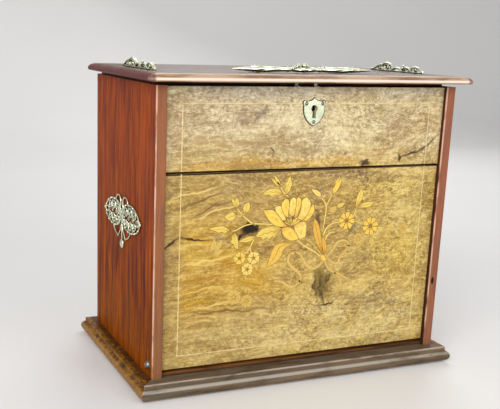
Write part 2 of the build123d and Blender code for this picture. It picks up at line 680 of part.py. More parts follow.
with BuildPart() as fall_panel:
    slab(-FALL_HALF, FALL_HALF, FACE_Y, FALL_BACK_Y, fall_z0, fall_z1)
    swing = PIVOT_RISE - 0.01
    brow_z = PIVOT_Z - (swing**2 - PIVOT_INSET**2) ** 0.5
    lean = asin(PIVOT_INSET / swing) / 2
    middle = (PIVOT_Y - swing * sin(lean), PIVOT_Z - swing * cos(lean))
    low_z = PIVOT_Z - swing
    with BuildSketch(Plane(origin=(-FALL_HALF, 0, 0), x_dir=(0, 1, 0), z_dir=(1, 0, 0))):
        with BuildLine():
            ThreePointArc((FACE_Y, brow_z), middle, (PIVOT_Y, low_z))
            Polyline((PIVOT_Y, low_z), (PIVOT_Y, fall_z0 - 1), (FACE_Y - 1, fall_z0 - 1))
            Polyline((FACE_Y - 1, fall_z0 - 1), (FACE_Y - 1, brow_z), (FACE_Y, brow_z))
        make_face()
    extrude(amount=2 * FALL_HALF, mode=Mode.SUBTRACT)
    add(marquetry_spray.part, mode=Mode.SUBTRACT)
    string_lines(BASE_Z + STRING_LOW, fall_z1, Mode.SUBTRACT)
    slab(
        -LEATHER_HALF, LEATHER_HALF, FALL_BACK_Y - LEATHER_T, FALL_BACK_Y, LEATHER_LOW, LEATHER_HIGH,
        Mode.SUBTRACT,
    )
    slab(
        FLUSH_X - STRIKE_HALF, FLUSH_X + STRIKE_HALF, STRIKE_Y, FALL_BACK_Y, fall_z1 - STRIKE_T,
        fall_z1, Mode.SUBTRACT,
    )
    rod((FLUSH_X, FLUSH_Y, fall_z1), (0, 0, -1), FLUSH_R + 0.4, 9, Mode.SUBTRACT)
    for side in (-1, 1):
        eye = (side * FALL_HALF, PIVOT_Y, PIVOT_Z)
        rod(eye, (-side, 0, 0), PIN_R + FIT, PIN_REACH, Mode.SUBTRACT)
save(fall_panel, "fall_panel")

with BuildPart() as stringing_fall:
    string_lines(BASE_Z + STRING_LOW, fall_z1)
save(stringing_fall, "stringing_fall")

with BuildPart() as fall_leather:
    slab(-LEATHER_HALF, LEATHER_HALF, FALL_BACK_Y - LEATHER_T, FALL_BACK_Y, LEATHER_LOW, LEATHER_HIGH)
save(fall_leather, "fall_leather")

with BuildPart() as fall_strike:
    slab(
        FLUSH_X - STRIKE_HALF, FLUSH_X + STRIKE_HALF, STRIKE_Y, FALL_BACK_Y, fall_z1 - STRIKE_T,
        fall_z1,
    )
    rod((FLUSH_X, FLUSH_Y, fall_z1), (0, 0, -1), FLUSH_R + 0.4, STRIKE_T, Mode.SUBTRACT)
save(fall_strike, "fall_strike")

PIVOT_HEAD_R = 4.4

with BuildPart() as pivot_screws:
    for side in (-1, 1):
        seat = (side * half_w, PIVOT_Y, PIVOT_Z)
        dome_pin(seat, (side, 0, 0), PIVOT_HEAD_R, PIVOT_HEAD_R, PIN_R, BOARD_T + PIN_REACH - 1.5)
save(pivot_screws, "pivot_screws")

# Letter rack behind the fall: three dividers stepped in height, each with a scooped top
DIVIDER_T = 4.0
DIVIDERS = {"rack_divider_front": (-45.0, 70.0), "rack_divider_middle": (-5.0, 110.0),
            "rack_divider_back": (38.0, 150.0)}
SCOOP_HALF = 95.0
SCOOP_DEPTH = 22.0
rack_z = BASE_Z + BEAD_H

for divider_name, (divider_y, divider_h) in DIVIDERS.items():
    with BuildPart() as rack_divider:
        with BuildSketch(Plane(origin=(0, divider_y, rack_z), x_dir=(1, 0, 0), z_dir=(0, -1, 0))):
            with BuildLine():
                Line((-SCOOP_HALF, divider_h), (-INNER_X, divider_h))
                Polyline((-INNER_X, divider_h), (-INNER_X, 0), (INNER_X, 0), (INNER_X, divider_h))
                Line((INNER_X, divider_h), (SCOOP_HALF, divider_h))
                ThreePointArc(
                    (SCOOP_HALF, divider_h), (0, divider_h - SCOOP_DEPTH), (-SCOOP_HALF, divider_h)
                )
            make_face()
        extrude(amount=-DIVIDER_T)
    save(rack_divider, divider_name)

# Pen tray across the back of the upper compartment, with a well for each inkwell
TRAY_FRONT = 30.0
TRAY_H = 20.0
WELL_X = 126.0
WELL = 41.0
WELL_FLOOR = 4.0
PEN_GROOVE_R = 15.0
PEN_GROOVE_HALF = 92.0
tray_top = UPPER_FLOOR_Z + TRAY_H
well_y = (TRAY_FRONT + INNER_BACK_Y) / 2

with BuildPart() as pen_tray:
    slab(-INNER_X, INNER_X, TRAY_FRONT, INNER_BACK_Y, UPPER_FLOOR_Z, tray_top)
    for x in (-WELL_X, WELL_X):
        slab(
            x - WELL / 2, x + WELL / 2, well_y - WELL / 2, well_y + WELL / 2,
            UPPER_FLOOR_Z + WELL_FLOOR, tray_top, Mode.SUBTRACT,
        )
    rod(
        (-PEN_GROOVE_HALF, well_y, tray_top + 1), (1, 0, 0), PEN_GROOVE_R, 2 * PEN_GROOVE_HALF,
        Mode.SUBTRACT,
    )
save(pen_tray, "pen_tray")

# Square glass inkwells with a brass collar and a hinged cap
INK_W = 40.0
INK_BODY_H = 28.0
NECK_R = 13.0
NECK_H = 7.0
MOUTH_R = 11.0
COLLAR_H = 4.5
COLLAR_R = 15.0
CAP_H = 6.0
CAP_HINGE_OUT = 17.0
CAP_PIN_R = 0.8
LUG_R = 1.8
ink_z = UPPER_FLOOR_Z + WELL_FLOOR
neck_z = ink_z + INK_BODY_H
collar_z = neck_z + NECK_H - COLLAR_H
cap_z = neck_z + NECK_H + 0.4

for side_name, side_x in {"left": -WELL_X, "right": WELL_X}.items():
    with BuildPart() as inkwell:
        half = INK_W / 2
        slab(side_x - half, side_x + half, well_y - half, well_y + half, ink_z, neck_z)
        chamfer(inkwell.edges().group_by(Axis.Z)[-1], 3.0)
        chamfer(inkwell.edges().filter_by(Axis.Z), 2.0)
        disc(side_x, well_y, neck_z - 0.5, NECK_R, NECK_H + 0.5)
        disc(side_x, well_y, ink_z + 5, MOUTH_R, INK_BODY_H + NECK_H, Mode.SUBTRACT)
    save(inkwell, f"inkwell_{side_name}")

    with BuildPart() as inkwell_cap:
        disc(side_x, well_y, cap_z, COLLAR_R, CAP_H)
        rim = inkwell_cap.edges().filter_by(GeomType.CIRCLE).sort_by(Axis.Z)[-1]
        fillet(rim, CAP_H * 0.8)
        disc(side_x, well_y, cap_z, COLLAR_R - 1.2, 1.5, Mode.SUBTRACT)
        slab(
            side_x - 2.4, side_x + 2.4, well_y + COLLAR_R - 1.1, well_y + CAP_HINGE_OUT, cap_z,
            cap_z + 1.6,
        )
        hinge_start = (side_x - 2.4, well_y + CAP_HINGE_OUT, cap_z)
        rod(hinge_start, (1, 0, 0), LUG_R, 4.8)
        rod(hinge_start, (1, 0, 0), CAP_PIN_R + FIT, 4.8, Mode.SUBTRACT)
    save(inkwell_cap, f"inkwell_cap_{side_name}")

with BuildPart() as inkwell_collars:
    for x in (-WELL_X, WELL_X):
        disc(x, well_y, collar_z, COLLAR_R, COLLAR_H)
        disc(x, well_y, collar_z, NECK_R, COLLAR_H, Mode.SUBTRACT)
        for side in (-1, 1):
            x0, x1 = sorted((x + side * 2.8, x + side * 5.2))
            y0 = well_y + COLLAR_R - 1.1
            slab(x0, x1, y0, well_y + CAP_HINGE_OUT, collar_z + 1, collar_z + COLLAR_H)
            rod((x0, well_y + CAP_HINGE_OUT, cap_z), (1, 0, 0), LUG_R, x1 - x0)
        pin_start = (x - 5.2, well_y + CAP_HINGE_OUT, cap_z)
        rod(pin_start, (1, 0, 0), CAP_PIN_R + FIT, 10.4, Mode.SUBTRACT)
save(inkwell_collars, "inkwell_collars")

with BuildPart() as inkwell_hinge_pins:
    for x in (-WELL_X, WELL_X):
        rod((x - 5.2, well_y + CAP_HINGE_OUT, cap_z), (1, 0, 0), CAP_PIN_R, 10.4)
save(inkwell_hinge_pins, "inkwell_hinge_pins")

# Lid board: a thumb-moulded edge on three sides over a seat that leaves a gap above the panel
LID_NOSE_R = 2.4
LID_THUMB = 10.0  # how far the upper curve runs in from the edge
LID_BACK_EASE = 1.5
SEAT_X = 165.0
SEAT_Y0 = FRONT_Y + 18.0
HANDLE_X = 40.5  # posts
HANDLE_Y = FRONT_Y + 64.0
POST_SHANK_R = 2.0
NUT_R = 3.6
NUT_T = 2.6
LINK_Y0 = FACE_Y + 1.5
LINK_Y1 = PANEL_BACK_Y + 0.5
LINK_HALF = 27.0
LINK_T = 1.5
LINK_SCREW_X = 23.5
LINK_SCREW_L = 6.0
link_y = (LINK_Y0 + LINK_Y1) / 2
lid_x = half_w + LID_OVER_SIDE
lid_y0 = FRONT_Y - LID_OVER_FRONT
lid_y1 = BACK_Y + LID_OVER_BACK
lid_low = TOP_Z + LID_SEAT_T
tip_z = lid_low + LID_NOSE_R


def moulded_edge(tip, inwards):
    """Section of the moulded edge, drawn from the lid's top down to its underside."""
    middle = (tip + inwards * LID_THUMB, tip_z)
    start = 90 if inwards > 0 else 0
    EllipticalCenterArc(middle, LID_THUMB, LID_Z - tip_z, start_angle=start, arc_size=90)
    RadiusArc((tip, tip_z), (tip + inwards * LID_NOSE_R, lid_low), -inwards * LID_NOSE_R)


with BuildPart() as lid_board:
    with BuildSketch(Plane.YZ.offset(-lid_x)):
        with BuildLine():
            moulded_edge(lid_y0, 1)
            Polyline((lid_y0 + LID_NOSE_R, lid_low), (lid_y1, lid_low), (lid_y1, LID_Z - LID_BACK_EASE))
            RadiusArc((lid_y1, LID_Z - LID_BACK_EASE), (lid_y1 - LID_BACK_EASE, LID_Z), -LID_BACK_EASE)
            Line((lid_y1 - LID_BACK_EASE, LID_Z), (lid_y0 + LID_THUMB, LID_Z))
        make_face()
    extrude(amount=2 * lid_x)
    with BuildSketch(Plane(origin=(0, lid_y0, 0), x_dir=(1, 0, 0), z_dir=(0, -1, 0))):
        with BuildLine():
            moulded_edge(-lid_x, 1)
            Line((-lid_x + LID_NOSE_R, lid_low), (lid_x - LID_NOSE_R, lid_low))
            moulded_edge(lid_x, -1)
            Line((lid_x - LID_THUMB, LID_Z), (-lid_x + LID_THUMB, LID_Z))
        make_face()
    extrude(amount=lid_y0 - lid_y1, mode=Mode.INTERSECT)
    slab(-SEAT_X, SEAT_X, SEAT_Y0, BACK_Y, TOP_Z, lid_low)
    for x in (-HINGE_X, HINGE_X):
        slab(
            x - HINGE_L / 2, x + HINGE_L / 2, leaf_y, BACK_Y + 0.5, TOP_Z, TOP_Z + LEAF_T,
            Mode.SUBTRACT,
        )
        slab(
            x - HINGE_L / 2 - 1, x + HINGE_L / 2 + 1, BACK_Y + 0.5, lid_y1 + 1, TOP_Z - 1,
            TOP_Z + KNUCKLE_R + 0.5, Mode.SUBTRACT,
        )
        for step in (-HINGE_SCREW_X, HINGE_SCREW_X):
            hole = (x + step, leaf_y + LEAF_W / 2, TOP_Z)
            rod(hole, (0, 0, 1), SCREW_R + FIT, LID_SCREW_L + 0.5, Mode.SUBTRACT)
    slab(-LINK_HALF, LINK_HALF, LINK_Y0, LINK_Y1, lid_low, lid_low + LINK_T, Mode.SUBTRACT)
    for x in (-LINK_SCREW_X, LINK_SCREW_X):
        rod((x, link_y, lid_low), (0, 0, 1), SCREW_R + FIT, LINK_SCREW_L + 0.5, Mode.SUBTRACT)
    for x in (-HANDLE_X, HANDLE_X):
        disc(x, HANDLE_Y, TOP_Z, POST_SHANK_R + FIT, LID_T, Mode.SUBTRACT)
        disc(x, HANDLE_Y, TOP_Z, NUT_R + 0.4, NUT_T + 0.4, Mode.SUBTRACT)
save(lid_board, "lid_board")

with BuildPart() as lid_link_plate:
    slab(-LINK_HALF, LINK_HALF, LINK_Y0, LINK_Y1, lid_low, lid_low + LINK_T)
    for x in HOOK_X:
        y0, y1 = HOOK_Y - HOOK_T / 2, HOOK_Y + HOOK_T / 2
        slab(x, x + HOOK_STEM, y0, y1, HOOK_LOW, lid_low + LINK_T)
        slab(x, x + HOOK_TOE, y0, y1, HOOK_LOW, HOOK_LOW + TOE_H)
    for x in (-LINK_SCREW_X, LINK_SCREW_X):
        rod((x, link_y, lid_low), (0, 0, 1), SCREW_R + FIT, LINK_T, Mode.SUBTRACT)
save(lid_link_plate, "lid_link_plate")

with BuildPart() as lid_link_screws:
    for x in (-LINK_SCREW_X, LINK_SCREW_X):
        disc(x, link_y, lid_low + 0.1, SCREW_R, LINK_SCREW_L)
save(lid_link_screws, "lid_link_screws")

# Carrying handle: a cast bail with a raised central boss, lying forward on two posts
BAIL_H = 3.4  # pivot above the lid
BAIL_EYE_R = 2.7
POST_FOOT_R = 5.0
POST_FOOT_T = 0.4
BAIL_EYE_X = 44.2
BAIL_EYE_T = 3.0
BAIL_BAR_Y = FRONT_Y + 30.0
BAIL_ARM_R = 2.0
BAIL_ARM_GAP = 2.3  # each arm starts this far in front of the pivot, inside the eye
BAIL_BEND_R = 18.0
BAIL_PIN_R = 1.1
BAIL_TIP_X = 81.0
BAIL_RADII = [(0, 2.9), (9, 2.6), (14, 1.9), (18, 2.5), (22, 1.9), (48, 2.9), (66, 2.0)]
BOSS_X = -2.8
BOSS_BALLS = [(-7.6, 1.4, 2.2), (-3.1, 3.8, 2.8), (3.1, 4.0, 2.8), (7.6, 1.2, 2.1)]
bail_z = LID_Z + BAIL_H

with BuildPart() as handle_posts:
    for side in (-1, 1):
        x = side * HANDLE_X
        disc(x, HANDLE_Y, TOP_Z + 0.3, POST_SHANK_R, LID_T - 0.3)
        disc(x, HANDLE_Y, LID_Z, POST_FOOT_R, POST_FOOT_T)
        slab(x - 1.5, x + 1.5, HANDLE_Y - BAIL_EYE_R, HANDLE_Y + BAIL_EYE_R, LID_Z, bail_z)
        rod((x - 1.5, HANDLE_Y, bail_z), (1, 0, 0), BAIL_EYE_R, 3.0)
        rod((x - 1.5, HANDLE_Y, bail_z), (1, 0, 0), BAIL_PIN_R + FIT, 3.0, Mode.SUBTRACT)
save(handle_posts, "handle_posts")

with BuildPart() as handle_pivots:
    for side in (-1, 1):
        start = (side * (BAIL_EYE_X + BAIL_EYE_T / 2 + 0.3), HANDLE_Y, bail_z)
        reach = BAIL_EYE_X + BAIL_EYE_T / 2 + 0.3 - HANDLE_X + 2.2
        dome_pin(start, (side, 0, 0), 1.9, 1.0, BAIL_PIN_R, reach)
save(handle_pivots, "handle_pivots")

with BuildPart() as handle_nuts:
    for x in (-HANDLE_X, HANDLE_X):
        with BuildSketch(Plane.XY.offset(TOP_Z + 0.3)):
            with Locations((x, HANDLE_Y)):
                RegularPolygon(NUT_R, 6)
                Circle(POST_SHANK_R + 0.02, mode=Mode.SUBTRACT)
        extrude(amount=NUT_T)
save(handle_nuts, "handle_nuts")

with BuildPart() as handle_bail:
    with BuildSketch(Plane(origin=(0, BAIL_BAR_Y, bail_z), x_dir=(1, 0, 0), z_dir=(0, -1, 0))):
        with BuildLine():
            outline = BAIL_RADII + [(76, 1.5), (BAIL_TIP_X, 0.5)]
            profile = [(-x, r) for x, r in reversed(outline[1:])] + outline
            Spline(*profile)
            Polyline(profile[-1], (BAIL_TIP_X, 0), (-BAIL_TIP_X, 0), profile[0])
        make_face()
    revolve(axis=Axis((0, BAIL_BAR_Y, bail_z), (1, 0, 0)))
    for offset, rise, radius in BOSS_BALLS:
        with Locations((BOSS_X + offset, BAIL_BAR_Y, bail_z + rise)):
            Sphere(radius)
    for side in (-1, 1):
        eye = side * BAIL_EYE_X
        bend_y = BAIL_BAR_Y + BAIL_BEND_R
        with BuildLine(Plane.XY.offset(bail_z)) as arm:
            Line((eye, HANDLE_Y - BAIL_ARM_GAP), (eye, bend_y))
            ThreePointArc(
                (eye, bend_y),
                (
                    eye + side * BAIL_BEND_R * (1 - cos(radians(45))),
                    bend_y - BAIL_BEND_R * sin(radians(45)),
                ),
                (eye + side * BAIL_BEND_R, BAIL_BAR_Y),
            )
        with BuildSketch(Plane(origin=(eye, HANDLE_Y - BAIL_ARM_GAP, bail_z), z_dir=(0, -1, 0))):
            Circle(BAIL_ARM_R)
        sweep(path=arm.wire())
        start = (eye - BAIL_EYE_T / 2, HANDLE_Y, bail_z)
        rod(start, (1, 0, 0), BAIL_EYE_R, BAIL_EYE_T)
        rod((eye - 4, HANDLE_Y, bail_z), (1, 0, 0), BAIL_PIN_R + FIT, 8, Mode.SUBTRACT)
save(handle_bail, "handle_bail")

# Pierced scroll mounts standing at the lid's two ends: place from the front, height, radius
END_MOUNT_X = 157.0
END_MOUNT_T = 4.0
END_MOUNT_RINGS = [(58, 4.2, 3.6), (79, 3.9, 3.1), (97, 2.8, 2.3), (115, 5.2, 4.2), (130, 3.6, 3.0)]
END_MOUNT_BALLS = [(45, 2.2, 1.9), (144, 2.1, 1.8), (81, 6.6, 1.5)]
END_MOUNT_SWEEPS = [
    ((45, 2.2), (50, 5.2), (56, 6.8)),
    ((62, 6.7), (69, 5.0), (77, 6.5)),
    ((82, 5.7), (91, 4.6), (99, 4.0)),
    ((97, 4.3), (104, 5.9), (110, 8.4)),
    ((110, 8.4), (116, 9.4), (121, 7.5)),
    ((119, 8.1), (125, 6.4), (132, 5.6)),
    ((133, 5.3), (139, 4.1), (144, 2.1)),
]


def end_mount(x):
    """Openwork crest of rings and scrolls on a thin foot."""
    plane = Plane(origin=(x, FRONT_Y, LID_Z), x_dir=(0, 1, 0), z_dir=(1, 0, 0))
    with BuildSketch(plane) as crest:
        with Locations((94, 0.8)):
            Rectangle(104, 1.6)
        for y, z, radius in END_MOUNT_RINGS + END_MOUNT_BALLS:
            with Locations((y, z)):
                Circle(radius)
        for points in END_MOUNT_SWEEPS:
            curved_bar(points, 1.8)
        for y, z, radius in END_MOUNT_RINGS:
            with Locations((y, z)):
                Circle(radius * 0.48, mode=Mode.SUBTRACT)
    extrude(crest.sketch, amount=END_MOUNT_T / 2, both=True)


for side_name, side in {"left": -1, "right": 1}.items():
    with BuildPart() as crest_casting:
        end_mount(side * END_MOUNT_X)
    save(crest_casting, f"lid_end_mount_{side_name}")

# Pierced side mounts: two pointed lobes, two scrolled arches over them and a ball drop
MOUNT_T = 1.8
LOBE_IN = 5.0
LOBE_OUT = 62.0
LOBE_TOP = 15.0
LOBE_LOW = -15.5
LOBE_HOLES = [(33, 0, 3.4), (33, 8.6, 2.2), (33, -9, 2.2), (24, 4.6, 2.2), (24, -5, 2.2), (42, 4.4, 2.2),
              (42, -5, 2.2), (50, 0, 1.8), (16, 0, 2.0)]
MOUNT_SCROLLS = [
    ((8, 8), (14.5, 22.5), (27, 12)),
    ((9, 4), (12, 12), (17, 9)),
    ((4, 6), (0, 0), (6, -7)),
    ((6, -7), (14, -14), (19, -13)),
    ((5, -8), (9, -20), (17, -23)),
    ((1, -3), (7, -13), (1, -22)),
]
MOUNT_SCROLL_W = 2.4
MOUNT_DROP_Z = -31.5
MOUNT_DROP_R = 5.0


def side_mount(side):
    """Flat pierced casting on the outside of one side board."""
    face = Plane(origin=(side * half_w, 0, MOUNT_Z), x_dir=(0, 1, 0), z_dir=(1, 0, 0))
    with BuildSketch(face) as casting:
        for end in (-1, 1):
            with BuildLine():
                ThreePointArc((end * LOBE_IN, -2), (end * 31, LOBE_TOP), (end * LOBE_OUT, -1))
                ThreePointArc((end * LOBE_OUT, -1), (end * 31, LOBE_LOW), (end * LOBE_IN, -2))
            make_face()
            with Locations((end * 59, -1)):
                Circle(2.0)
            for (x0, z0), (x1, z1), (x2, z2) in MOUNT_SCROLLS:
                curved_bar([(end * x0, z0), (end * x1, z1), (end * x2, z2)], MOUNT_SCROLL_W)
        for end in (-1, 1):
            for u, v, radius in LOBE_HOLES:
                with Locations((end * u, v)):
                    Circle(radius, mode=Mode.SUBTRACT)
        with Locations((0, -25)):
            Rectangle(2.4, 8)
        with Locations((0, MOUNT_DROP_Z)):
            Circle(MOUNT_DROP_R)
        with Locations((0, -2)):
            Rectangle(11, 3)
        for u, v in MOUNT_PINS:
            with Locations((u, v)):
                Circle(MOUNT_PIN_R + FIT, mode=Mode.SUBTRACT)
    extrude(casting.sketch, amount=side * MOUNT_T)


for side_name, side in {"left": -1, "right": 1}.items():
    with BuildPart() as mount_casting:
        side_mount(side)
    save(mount_casting, f"side_mount_{side_name}")

with BuildPart() as side_mount_pins:
    for side in (-1, 1):
        for u, v in MOUNT_PINS:
            seat = (side * (half_w + MOUNT_T), u, MOUNT_Z + v)
            dome_pin(seat, (side, 0, 0), 1.5, 0.9, MOUNT_PIN_R, MOUNT_T + MOUNT_PIN_L)
save(side_mount_pins, "side_mount_pins")
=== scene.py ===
# %% [markdown]
# # A walnut stationery cabinet
# This script dresses the solids of a small antique writing cabinet: a case with a lift-up lid,
# a fixed front panel with the lock, and a fall front with a spray of flowers inlaid in it.
# The solids arrive already in place, in metres, with +X to the cabinet's right, +Y to its back
# and +Z up, so each new piece is drawn straight in those numbers and needs no fitting.

# %% Load the solids
import json
import math

import bmesh
import bpy
from mathutils import Matrix, Vector


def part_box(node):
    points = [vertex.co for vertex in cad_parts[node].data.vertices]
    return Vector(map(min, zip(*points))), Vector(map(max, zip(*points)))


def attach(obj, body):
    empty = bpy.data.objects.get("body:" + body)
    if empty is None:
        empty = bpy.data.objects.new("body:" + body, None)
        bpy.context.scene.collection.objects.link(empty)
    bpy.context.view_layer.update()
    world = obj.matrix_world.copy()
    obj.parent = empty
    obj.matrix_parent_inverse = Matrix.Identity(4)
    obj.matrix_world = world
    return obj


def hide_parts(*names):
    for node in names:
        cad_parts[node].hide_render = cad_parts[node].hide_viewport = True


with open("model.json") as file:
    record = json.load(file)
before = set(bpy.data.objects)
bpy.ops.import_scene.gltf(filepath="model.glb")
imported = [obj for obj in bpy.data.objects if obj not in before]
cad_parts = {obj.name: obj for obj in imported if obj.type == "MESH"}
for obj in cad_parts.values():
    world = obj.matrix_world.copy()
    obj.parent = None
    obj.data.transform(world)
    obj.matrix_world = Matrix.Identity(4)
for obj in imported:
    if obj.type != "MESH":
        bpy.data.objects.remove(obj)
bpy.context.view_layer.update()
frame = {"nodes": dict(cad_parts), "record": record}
nodes = frame["nodes"]
MM = 0.001

# %% [markdown]
# Most pieces lie against a face of the case, so the places of those faces are read off the
# solids once. The pattern on the fall was drawn from its lower edge, and the heights of the
# brass on the sides too, so `plinth_top` turns such a height into a place.

# %% Faces of the case
plinth_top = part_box("plinth_front")[1].z
side_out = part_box("side_right")[1].x
case_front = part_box("side_right")[0].y
panel_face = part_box("upper_front_panel")[0].y
fall_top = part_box("fall_panel")[1].z
lid_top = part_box("lid_board")[1].z
lid_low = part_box("lid_board")[0].z
lid_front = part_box("lid_board")[0].y
lid_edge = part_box("lid_link_screws")[0].z - 0.1 * MM
BOARD = 11 * MM  # thickness of the side boards
print("panel face at", round(panel_face, 4), "and lid top at", round(lid_top, 4))

# %% [markdown]
# The picture was taken from the front left and a little above, with the camera held slightly
# askew, so the camera is set by its place and by the two directions that it looks along and
# calls up. The small shift stands for the way the picture was cropped.

# %% Camera
stand = Vector((-0.44154, -0.86874, 0.35822))
sight = Vector((0.38007, 0.89257, -0.24263)).normalized()
up = Vector((0.06543, 0.23571, 0.96962))
right = sight.cross(up).normalized()
up = right.cross(sight)
camera_data = bpy.data.cameras.new("camera")
camera_data.sensor_width = 36.0
camera_data.lens = 62.44
camera_data.shift_x = 0.0864
camera_data.shift_y = 0.0908
camera = bpy.data.objects.new("camera", camera_data)
turn = Matrix((right, up, -sight)).transposed().to_4x4()
camera.matrix_world = Matrix.Translation(stand) @ turn
bpy.context.scene.collection.objects.link(camera)
bpy.context.scene.camera = camera

# %% [markdown]
# Polished wood and brass show what stands around them, so the studio is part of their look:
# a wide soft lamp at the front left, a weaker one at the right, and a pale world. The world
# is kept dim for the wood and pale only for what the camera and the gloss see.

# %% Studio
def area_lamp(name, place, target, size, watts, tint=(1.0, 1.0, 1.0)):
    """Square soft lamp that shines from place towards target."""
    data = bpy.data.lights.new(name, "AREA")
    data.size = size
    data.energy = watts
    data.color = tint
    lamp = bpy.data.objects.new(name, data)
    lamp.location = place
    lamp.rotation_euler = (Vector(target) - Vector(place)).to_track_quat("-Z", "Y").to_euler()
    bpy.context.scene.collection.objects.link(lamp)


middle = (0.0, 0.0, 0.17)
area_lamp("window_lamp", (-1.5, -1.5, 1.5), middle, 1.4, 42)
area_lamp("front_lamp", (0.7, -1.9, 0.9), middle, 1.2, 16)
area_lamp("back_lamp", (0.9, 1.5, 1.3), middle, 1.2, 14)

# %% [markdown]
# Every finish here is built from the same small set of nodes, so one helper adds a node, sets
# what is a plain value and links what is a socket. It serves shader trees and geometry trees.
# Most of the others name one common node or a common pair of them, so that a finish reads as
# a list of what is laid over what.

# %% Node helpers
def fill(tree, node, inputs):
    """Give a node its inputs, by name or number: sockets are linked, plain values are set."""
    for key, value in inputs.items():
        if isinstance(value, bpy.types.NodeSocket):
            tree.links.new(value, node.inputs[key])
        else:
            node.inputs[key].default_value = value
    return node


def put(tree, kind, inputs=None, **settings):
    """Add a node with its settings and its inputs."""
    node = tree.nodes.new(kind)
    for key, value in settings.items():
        setattr(node, key, value)
    return fill(tree, node, inputs or {})


def calc(tree, operation, a, b=0.0):
    """Arithmetic on one or two values."""
    return put(tree, "ShaderNodeMath", {0: a, 1: b}, operation=operation).outputs[0]


def product(tree, first, *others):
    """Product of values, most of them masks."""
    for other in others:
        first = calc(tree, "MULTIPLY", first, other)
    return first


def distance(tree, a, b):
    """How far two values lie apart."""
    return calc(tree, "ABSOLUTE", calc(tree, "SUBTRACT", a, b))


def vector_calc(tree, operation, a, b=(0.0, 0.0, 0.0)):
    """Arithmetic on two vectors."""
    return put(tree, "ShaderNodeVectorMath", {0: a, 1: b}, operation=operation).outputs[0]


def length(tree, vector):
    """Length of a vector."""
    return put(tree, "ShaderNodeVectorMath", {0: vector}, operation="LENGTH").outputs["Value"]


def axes(tree, vector):
    """The X, Y and Z of a vector."""
    return put(tree, "ShaderNodeSeparateXYZ", {0: vector}).outputs


def joined(tree, x=0.0, y=0.0, z=0.0):
    """Vector made of three values."""
    return put(tree, "ShaderNodeCombineXYZ", {0: x, 1: y, 2: z}).outputs[0]


def swung(tree, vector, angle):
    """Vector turned about Y, the axis that points into the front panels."""
    return put(tree, "ShaderNodeVectorRotate", {"Vector": vector, "Angle": angle},
               rotation_type="Y_AXIS").outputs[0]


def mix(tree, share, a, b, blend_type="MIX"):
    """Blend of two colours."""
    return put(tree, "ShaderNodeMix", {0: share, 6: a, 7: b}, data_type="RGBA",
               blend_type=blend_type, clamp_factor=True).outputs[2]


def mix_values(tree, share, a, b):
    """Blend of two values."""
    return put(tree, "ShaderNodeMix", {0: share, 2: a, 3: b}, data_type="FLOAT").outputs[0]


def lay(tree, tone, colour, *masks):
    """The tone with a colour laid over it, as far as all the masks together let it show."""
    return mix(tree, product(tree, *masks), tone, colour)


def spread(tree, value, low, high, new_low=0.0, new_high=1.0):
    """Smooth step of a value between two limits."""
    inputs = {0: value, 1: low, 2: high, 3: new_low, 4: new_high}
    return put(tree, "ShaderNodeMapRange", inputs, interpolation_type="SMOOTHSTEP").outputs[0]


def band(tree, value, start, full, fade, end):
    """Mask that is 1 from full to fade and falls softly to 0 at start and at end."""
    return product(tree, spread(tree, value, start, full), spread(tree, value, end, fade))


def noise(tree, vector, scale, detail=3.0, roughness=0.55, distortion=0.0):
    """Noise value at a vector."""
    inputs = {"Vector": vector, "Scale": scale, "Detail": detail, "Roughness": roughness,
              "Distortion": distortion}
    return put(tree, "ShaderNodeTexNoise", inputs).outputs[0]


def long_noise(tree, vector, stretch, scale, detail=3.0, roughness=0.55, distortion=0.0):
    """Noise that runs long along the axes whose stretch is small."""
    drawn_out = vector_calc(tree, "MULTIPLY", vector, stretch)
    return noise(tree, drawn_out, scale, detail, roughness, distortion)


def shader_group(name, inputs, outputs):
    """Empty node group with named sockets; returns the tree and its inner input sockets."""
    tree = bpy.data.node_groups.new(name, "ShaderNodeTree")
    for socket, kind, value in inputs:
        made = tree.interface.new_socket(socket, in_out="INPUT", socket_type="NodeSocket" + kind)
        made.default_value = value
    for socket, kind in outputs:
        tree.interface.new_socket(socket, in_out="OUTPUT", socket_type="NodeSocket" + kind)
    return tree, tree.nodes.new("NodeGroupInput").outputs


def group_result(tree, **values):
    """Link what a group puts out."""
    put(tree, "NodeGroupOutput", values)


def use(tree, group, inputs):
    """Place a shader group in a material."""
    return put(tree, "ShaderNodeGroup", inputs, node_tree=group).outputs


def new_finish(name):
    """Material with its tree, its Principled shader and the object coordinates."""
    material = bpy.data.materials.new(name)
    material.use_nodes = True
    tree = material.node_tree
    tree.nodes.clear()
    surface = tree.nodes.new("ShaderNodeBsdfPrincipled")
    put(tree, "ShaderNodeOutputMaterial", {"Surface": surface.outputs[0]})
    place = tree.nodes.new("ShaderNodeTexCoord").outputs["Object"]
    return material, tree, surface, place


def bump(tree, surface, height, distance, strength=0.5):
    """Feed a height to the shader's normal; distance is in metres."""
    inputs = {"Height": height, "Distance": distance, "Strength": strength}
    tree.links.new(put(tree, "ShaderNodeBump", inputs).outputs[0], surface.inputs["Normal"])


# %% [markdown]
# ## Shared effects
# Several woods need the same three things: a soft-edged patch at a given place, for a cloud of
# colour or a dark knot; a warp, so that no patch has a clean outline; and long fibres with
# pores. Each is a shader node group with named inputs, made once and placed with other values.

